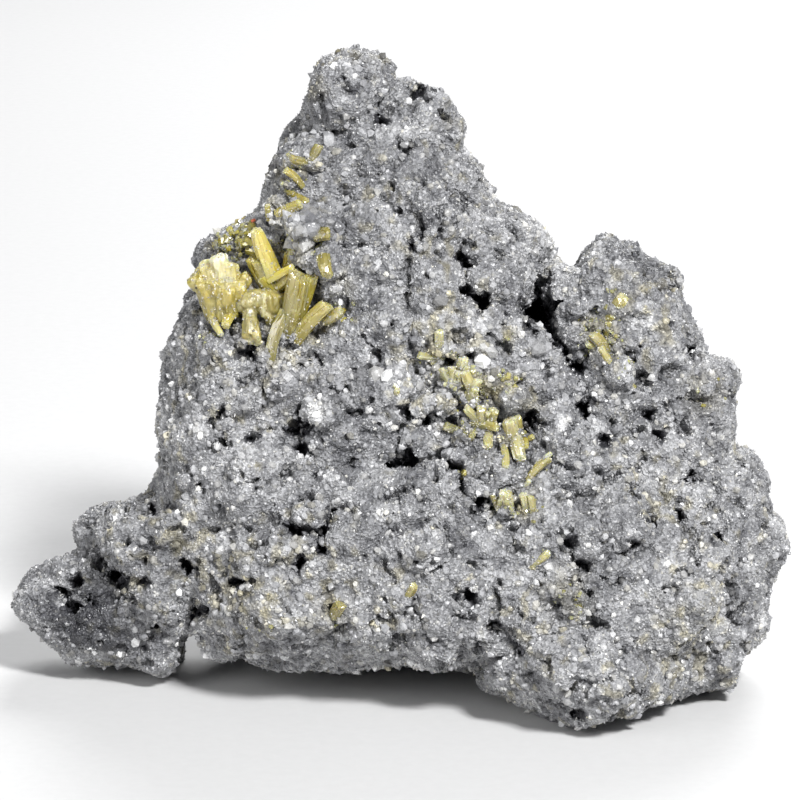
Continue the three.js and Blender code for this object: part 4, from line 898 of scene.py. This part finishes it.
FACETS = 6
RINGS = 8  # stretches along a prism's side
STRIPES_PER_MM = 7  # flutes on a face, for each millimetre of the prism's width
GROOVE_DEPTH = 0.10  # most that a flute is cut in, against the radius
BULGE = 0.08  # how much wider a prism is half way along
STOPPED_SHARE = 0.35  # share of the ridges that stop short of the end
STOPPED_RADIUS = 0.84  # what is left of the radius past such a ridge
END_RINGS = (0.74, 0.40)  # radii of the broken end's steps
END_HEIGHTS = (0.22, 0.42)  # their heights on a round prism, against half its width
END_STEP = 0.07  # their height on a six-sided one
SHEAR = (0.15, 0.55)  # slope of the sheared end
BEND = 0.03  # spread of a prism's bend, against its length
STREAK_LENGTH = 0.07  # scale of the streaks' noise along a prism, against across it
FUSED_VOXEL = 0.10  # cells of crystals that have grown together, in mm
FUSED_NOISE, DIMPLES = 0.9, 0.28  # sizes in mm of their swells and clouds, and of their dimples


def side_radii(widths, roundness, random):
    """The angles around a striated prism, and from ring to ring its radius at each of them."""
    width = max(widths)
    stripes = max(2, min(8, round(STRIPES_PER_MM * width / 2)))
    columns = FACETS * stripes
    cuts = np.sort(random.random((FACETS, stripes - 1)), axis=1) * 0.8 + 0.1
    share = np.column_stack([np.zeros(FACETS), cuts]).ravel()
    angle = (np.repeat(np.arange(FACETS), stripes) + share) * math.pi / 3
    corner = angle % (math.pi / 3) - math.pi / 6
    hexagon = math.cos(math.pi / 6) / np.cos(corner)
    swell = 1 + 0.16 * np.sin(2 * angle + random.uniform(0, 6))
    swell += 0.08 * np.sin(3 * angle + random.uniform(0, 6))
    outline = hexagon * (1 - roundness) + 0.92 * swell * roundness
    crispness = 1 - 0.85 * roundness
    start_grooves, end_grooves = 1 - GROOVE_DEPTH * crispness * random.random((2, columns)) ** 1.3
    stops = random.random(columns) < STOPPED_SHARE * crispness
    stops = np.where(stops, random.uniform(0.6, 0.97, columns), 2)
    radii = []
    for t in np.arange(RINGS + 1) / RINGS:
        girth = widths[0] * (1 - t) + widths[1] * t + BULGE * width * math.sin(math.pi * t)
        grooves = start_grooves * (1 - t) + end_grooves * t
        short = np.where(t > stops, STOPPED_RADIUS, 1)
        radii.append(girth / 2 * MM * outline * grooves * short * (1 - 0.22 * roundness * t**4))
    return angle, radii, crispness


def joined_rings(rings):
    """The rings' corners and two more at the ends, with the quads and the end triangles between."""
    columns = len(rings[0])
    points = np.concatenate([*rings, [[0, 0, 0], rings[-1].mean(0)]])
    around = [(j, (j + 1) % columns) for j in range(columns)]
    starts = [i * columns for i in range(len(rings))]
    quads = []
    for low, high in zip(starts, starts[1:]):
        quads += [(low + j, low + k, high + k, high + j) for j, k in around]
    fans = [(k, j, len(points) - 2) for j, k in around]
    fans += [(starts[-1] + j, starts[-1] + k, len(points) - 1) for j, k in around]
    return points, np.array(quads), np.array(fans)


def crystal_skin(base, tip, widths, roundness, random):
    """A striated prism between two places in metres, with a sheared end that is broken in steps."""
    length = np.linalg.norm(tip - base)
    width = max(widths)
    angle, radii, crispness = side_radii(widths, roundness, random)
    rings = []
    for i, radius in enumerate(radii):
        height = np.full(len(angle), i / RINGS * length)
        rings.append(np.column_stack([np.cos(angle) * radius, np.sin(angle) * radius, height]))
    for inward, rise in zip(END_RINGS, END_HEIGHTS):
        place = rings[RINGS].copy()
        place[:, :2] *= inward
        place[:, 2] += (roundness * rise + 0.05) * width / 2 * MM
        place[:, 2] += crispness * random.uniform(-END_STEP, END_STEP, len(angle)) * width * MM
        rings.append(place)
    slant = random.uniform(*SHEAR) * crispness
    lean = random.uniform(0, 2 * math.pi)
    for ring in rings:
        back = np.clip((ring[:, 2] / length - 0.6) / 0.4, 0, 1)
        ring[:, 2] += back * slant * (ring[:, 0] * math.cos(lean) + ring[:, 1] * math.sin(lean))
    points, quads, fans = joined_rings(rings)
    turn = frames_along(((tip - base) / length)[None], random.uniform(0, math.pi, 1))[0]
    streaks = points * (1, 1, STREAK_LENGTH) / MM + random.uniform(-50, 50, 3)
    return points @ turn.T + base, quads, fans, points[:, 2] / length, streaks


def crystal_arrays(crystals, random):
    """The prisms of a table: corners, side quads and end triangles, and the values at each corner."""
    points, quads, fans, values = [], [], [], {"tone": [], "pale": [], "streak": [], "foot": []}
    count = 0
    for *ends, start_width, end_width, tone, pale, roundness in crystals:
        base, tip = face_to_row(ends)
        bend = random.normal(0, BEND, 3) * np.linalg.norm(tip - base)
        widths = (start_width, end_width)
        skin, sides, caps, along, streak = crystal_skin(base, tip, widths, roundness, random)
        points.append(skin + bend * np.sin(math.pi * np.clip(along, 0, 1))[:, None])
        quads.append(sides + count)
        fans.append(caps + count)
        # Each prism's end is painted lighter and paler as a painted highlight. The tone also rises from the
        # foot to the tip.
        painted_highlight_end = along > 0.985
        own = tone + 0.14 * (along - 0.6) + random.normal(0, 0.03, len(along))
        values["tone"].append(np.clip(own + 0.15 * painted_highlight_end, 0, 1))
        values["pale"].append(np.clip(pale + 0.3 * painted_highlight_end, 0, 1))
        values["streak"].append(streak)
        dusty = (1 - roundness) * (1.6 if pale > 0.4 else 0.5)
        values["foot"].append(np.clip(1.1 - 1.5 * along, 0.12, 1) * dusty)
        count += len(skin)
    values = {key: np.concatenate(parts) for key, parts in values.items()}
    return np.concatenate(points), np.concatenate(quads), np.concatenate(fans), values


def make_prisms(name, crystals, material, random):
    """Crisp prisms as one piece, and their sides for the quartz that dusts them."""
    points, quads, fans, values = crystal_arrays(crystals, random)
    foot = values.pop("foot")
    return new_piece(name, points, [*quads, *fans], material, values), (points, quads, foot)


def make_fused(name, crystals, rough, material, random):
    """Prisms that have grown together, as one uneven skin, and that skin for what lies on it."""
    points, quads, fans, values = crystal_arrays(crystals, random)
    vertices, quads = remeshed(points, [*quads, *fans], FUSED_VOXEL)
    vertices = relaxed(vertices, quads, 1)
    tree = KDTree(len(points))
    for i, point in enumerate(points):
        tree.insert(point, i)
    tree.balance()
    nearest = np.array([tree.find(vertex)[1] for vertex in vertices])
    places = row_to_face(vertices)
    dimples = broad_noise(places * (1, 0.4, 1), DIMPLES, (7, 3, 3))
    push = 0.12 * broad_noise(places, FUSED_NOISE, (4, 4, 1)) + (0.03 + 0.08 * rough) * dimples
    vertices = vertices + vertex_normals(vertices, quads) * push[:, None] * MM
    values = {key: values[key][nearest] for key in ("tone", "pale", "streak")}
    # Swells are painted lighter and dimples darker: painted light and shade that follow the relief.
    values["tone"] = np.clip(values["tone"] + 1.2 * push, 0, 1)
    values["pale"] = np.clip(values["pale"] + 0.3 * broad_noise(places, FUSED_NOISE, (5, 0, 9)), 0, 1)
    mass = new_piece(name, vertices, quads, material, values, smooth=rough < 0.5)
    return mass, (vertices, quads, np.full(len(vertices), 0.4 * rough))


# --- Build ---

random = np.random.default_rng(SEED)
noise.seed_set(SEED)
quartz_skin = quartz_material("quartz_skin", roughness=0.4, sugar_depth=0.9, least_shade=0.5)
quartz_grain = quartz_material("quartz_grain", roughness=0.3, sugar_depth=0.3, least_shade=0.9)
mimetite = mimetite_material("mimetite", least_roughness=0.14, milkiness=0.40)
massive_mimetite = mimetite_material("massive_mimetite", least_roughness=0.30, milkiness=0.25)


def build_lump():
    """The lump's skin as two pieces; its surface, places, openness and tones for what lies on it."""
    vertices, quads, open_share = sculpted_lump()
    places = row_to_face(vertices)
    tone, warm = surface_tones(places, open_share)
    front = (vertex_normals(vertices, quads) @ OUT_OF_FACE)[quads].mean(1) > 0.1
    for name, chosen in (("drusy_matrix_front", front), ("drusy_matrix_back", ~front)):
        used, corners = np.unique(quads[chosen], return_inverse=True)
        values = {"tone": tone[used], "warm": warm[used]}
        half = new_piece(name, vertices[used], corners.reshape(-1, 4), quartz_skin, values)
        dress(half, "matrix")
    return (vertices, quads), places, open_share, {"tone": (tone, 0.10), "warm": (warm, 0.12)}


def build_mimetite():
    """All the large crystals; their surface as one, with how much quartz dust each corner holds."""
    sides = []
    for name, crystals in PRISMS.items():
        prisms, side = make_prisms("fluted_" + name, crystals, mimetite, random)
        dress(prisms, "mimetite_" + name)
        sides.append(side)
    for name, crystals, rough in (("massive_left", LEFT_MASS, 1), ("massive_lumps", PALE_LUMPS, 0.5)):
        mass, side = make_fused(name, crystals, rough, massive_mimetite, random)
        dress(mass, "mimetite_pocket_cluster")
        sides.append(side)
    points, quads, dusty = zip(*sides)
    starts = np.cumsum([0] + [len(part) for part in points])
    quads = np.concatenate([part + start for part, start in zip(quads, starts)])
    return (np.concatenate(points), quads), np.concatenate(dusty)


RED_SPECK = (-12.6, 43.65)  # u and w of the red grain
RED_GRAIN = (0.14, 0.14, 0.3)  # its half-widths and half-length in mm


def build_red_speck(places):
    """The one red grain, half a millimetre long, above the pocket."""
    away = np.hypot(places[:, 0] - RED_SPECK[0], places[:, 1] - RED_SPECK[1])
    place = places[np.argmin(away + 10 * (places[:, 2] < FRONT_LIMIT))] + (0, 0, 0.15)
    template, faces = grain_template(True, 0.6)
    turn = frames_along(np.array([[0.85, -0.2, 0.5]]) / math.sqrt(1.0125), np.zeros(1))[0]
    points = (template * RED_GRAIN * MM) @ turn.T + face_to_row([place])[0]
    red = plain_material("red_oxide", 3000, 3, (0.42, 0.07, 0.03), (0.62, 0.17, 0.08), roughness=0.4)
    dress(new_piece("red_speck", points, faces, red))


lump, lump_places, lump_open, lump_values = build_lump()
for kind in GRAIN_KINDS:
    grains = make_grains(kind, lump, 0.25 + 0.75 * lump_open, lump_values, quartz_grain, random)
    dress(grains)

crystal_sides, dusty_share = build_mimetite()
dress(make_grains(DUST, crystal_sides, dusty_share, None, quartz_grain, random))
build_red_speck(lump_places)

for kind, spots in ((CHIPS, CHIP_SPOTS), (STOUT_CHIPS, STOUT_SPOTS)):
    chip_share = spotted(lump_places, spots) * (0.2 + lump_open)
    dress(make_grains(kind, lump, chip_share, None, mimetite, random))

block_share = spotted(lump_places, BLOCK_SPOTS) * (0.1 + lump_open)
dress(make_grains(BLOCKS, lump, block_share, lump_values, quartz_grain, random))

# --- Stage ---

PICTURE_SCALE = 0.085  # mm of the broad face to a pixel
PICTURE_SIZE = 800
PICTURE_LOW = 733  # pixel row of the specimen's lowest point
CAMERA_DISTANCE = 400
SENSOR_WIDTH = 36
FLOOR_HALF = 3  # from here on the sizes are in metres
LIGHTS_AIM = (0, 0, 0.027)


def stand(name, data, place, aim):
    """Put a light or a camera at a place in metres, turned to what it aims at."""
    holder = new_object(name, data)
    holder.location = place
    holder.rotation_euler = (Vector(aim) - Vector(place)).to_track_quat("-Z", "Y").to_euler()
    return holder


def add_light(name, place, size, power):
    light = bpy.data.lights.new(name, "AREA")
    light.shape = "RECTANGLE"
    light.size = light.size_y = size
    light.energy = power
    stand(name, light, place, LIGHTS_AIM)


def set_stage():
    """A plain pale floor under soft studio light."""
    corners = [(x * FLOOR_HALF, y * FLOOR_HALF, 0) for x, y in ((-1, -1), (1, -1), (1, 1), (-1, 1))]
    paint = plain_material("floor_paint", 900, 2, 0.63, 0.65, roughness=0.6)
    new_piece("floor", corners, [(0, 1, 2, 3)], paint)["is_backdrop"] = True

    world = bpy.data.worlds.new("studio")
    world.use_nodes = True
    background = world.node_tree.nodes["Background"]
    background.inputs["Color"].default_value = (0.80, 0.82, 0.86, 1)
    background.inputs["Strength"].default_value = 0.20
    bpy.context.scene.world = world

    add_light("key", (0.20, -0.40, 0.42), size=0.10, power=5.4)
    add_light("fill", (-0.45, -0.40, 0.25), size=0.35, power=1.7)
    add_light("back", (0.10, 0.45, 0.35), size=0.3, power=2.4)


def set_camera():
    """A long lens, square on to the broad face, that frames it as 800 pixels of 0.085 mm."""
    camera = bpy.data.cameras.new("camera")
    camera.sensor_width = SENSOR_WIDTH
    camera.lens = SENSOR_WIDTH * CAMERA_DISTANCE / (PICTURE_SIZE * PICTURE_SCALE)
    camera.clip_start = 0.01
    centre_w = (PICTURE_LOW - PICTURE_SIZE / 2) * PICTURE_SCALE
    aim, place = face_to_row([(0, centre_w, 0), (0, centre_w, CAMERA_DISTANCE)])
    bpy.context.scene.camera = stand("camera", camera, place, aim)


set_stage()
set_camera()
bpy.context.scene.view_settings.view_transform = "Standard"

[[list(map(float, corner)) for corner in box] for box in (cad_box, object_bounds())]
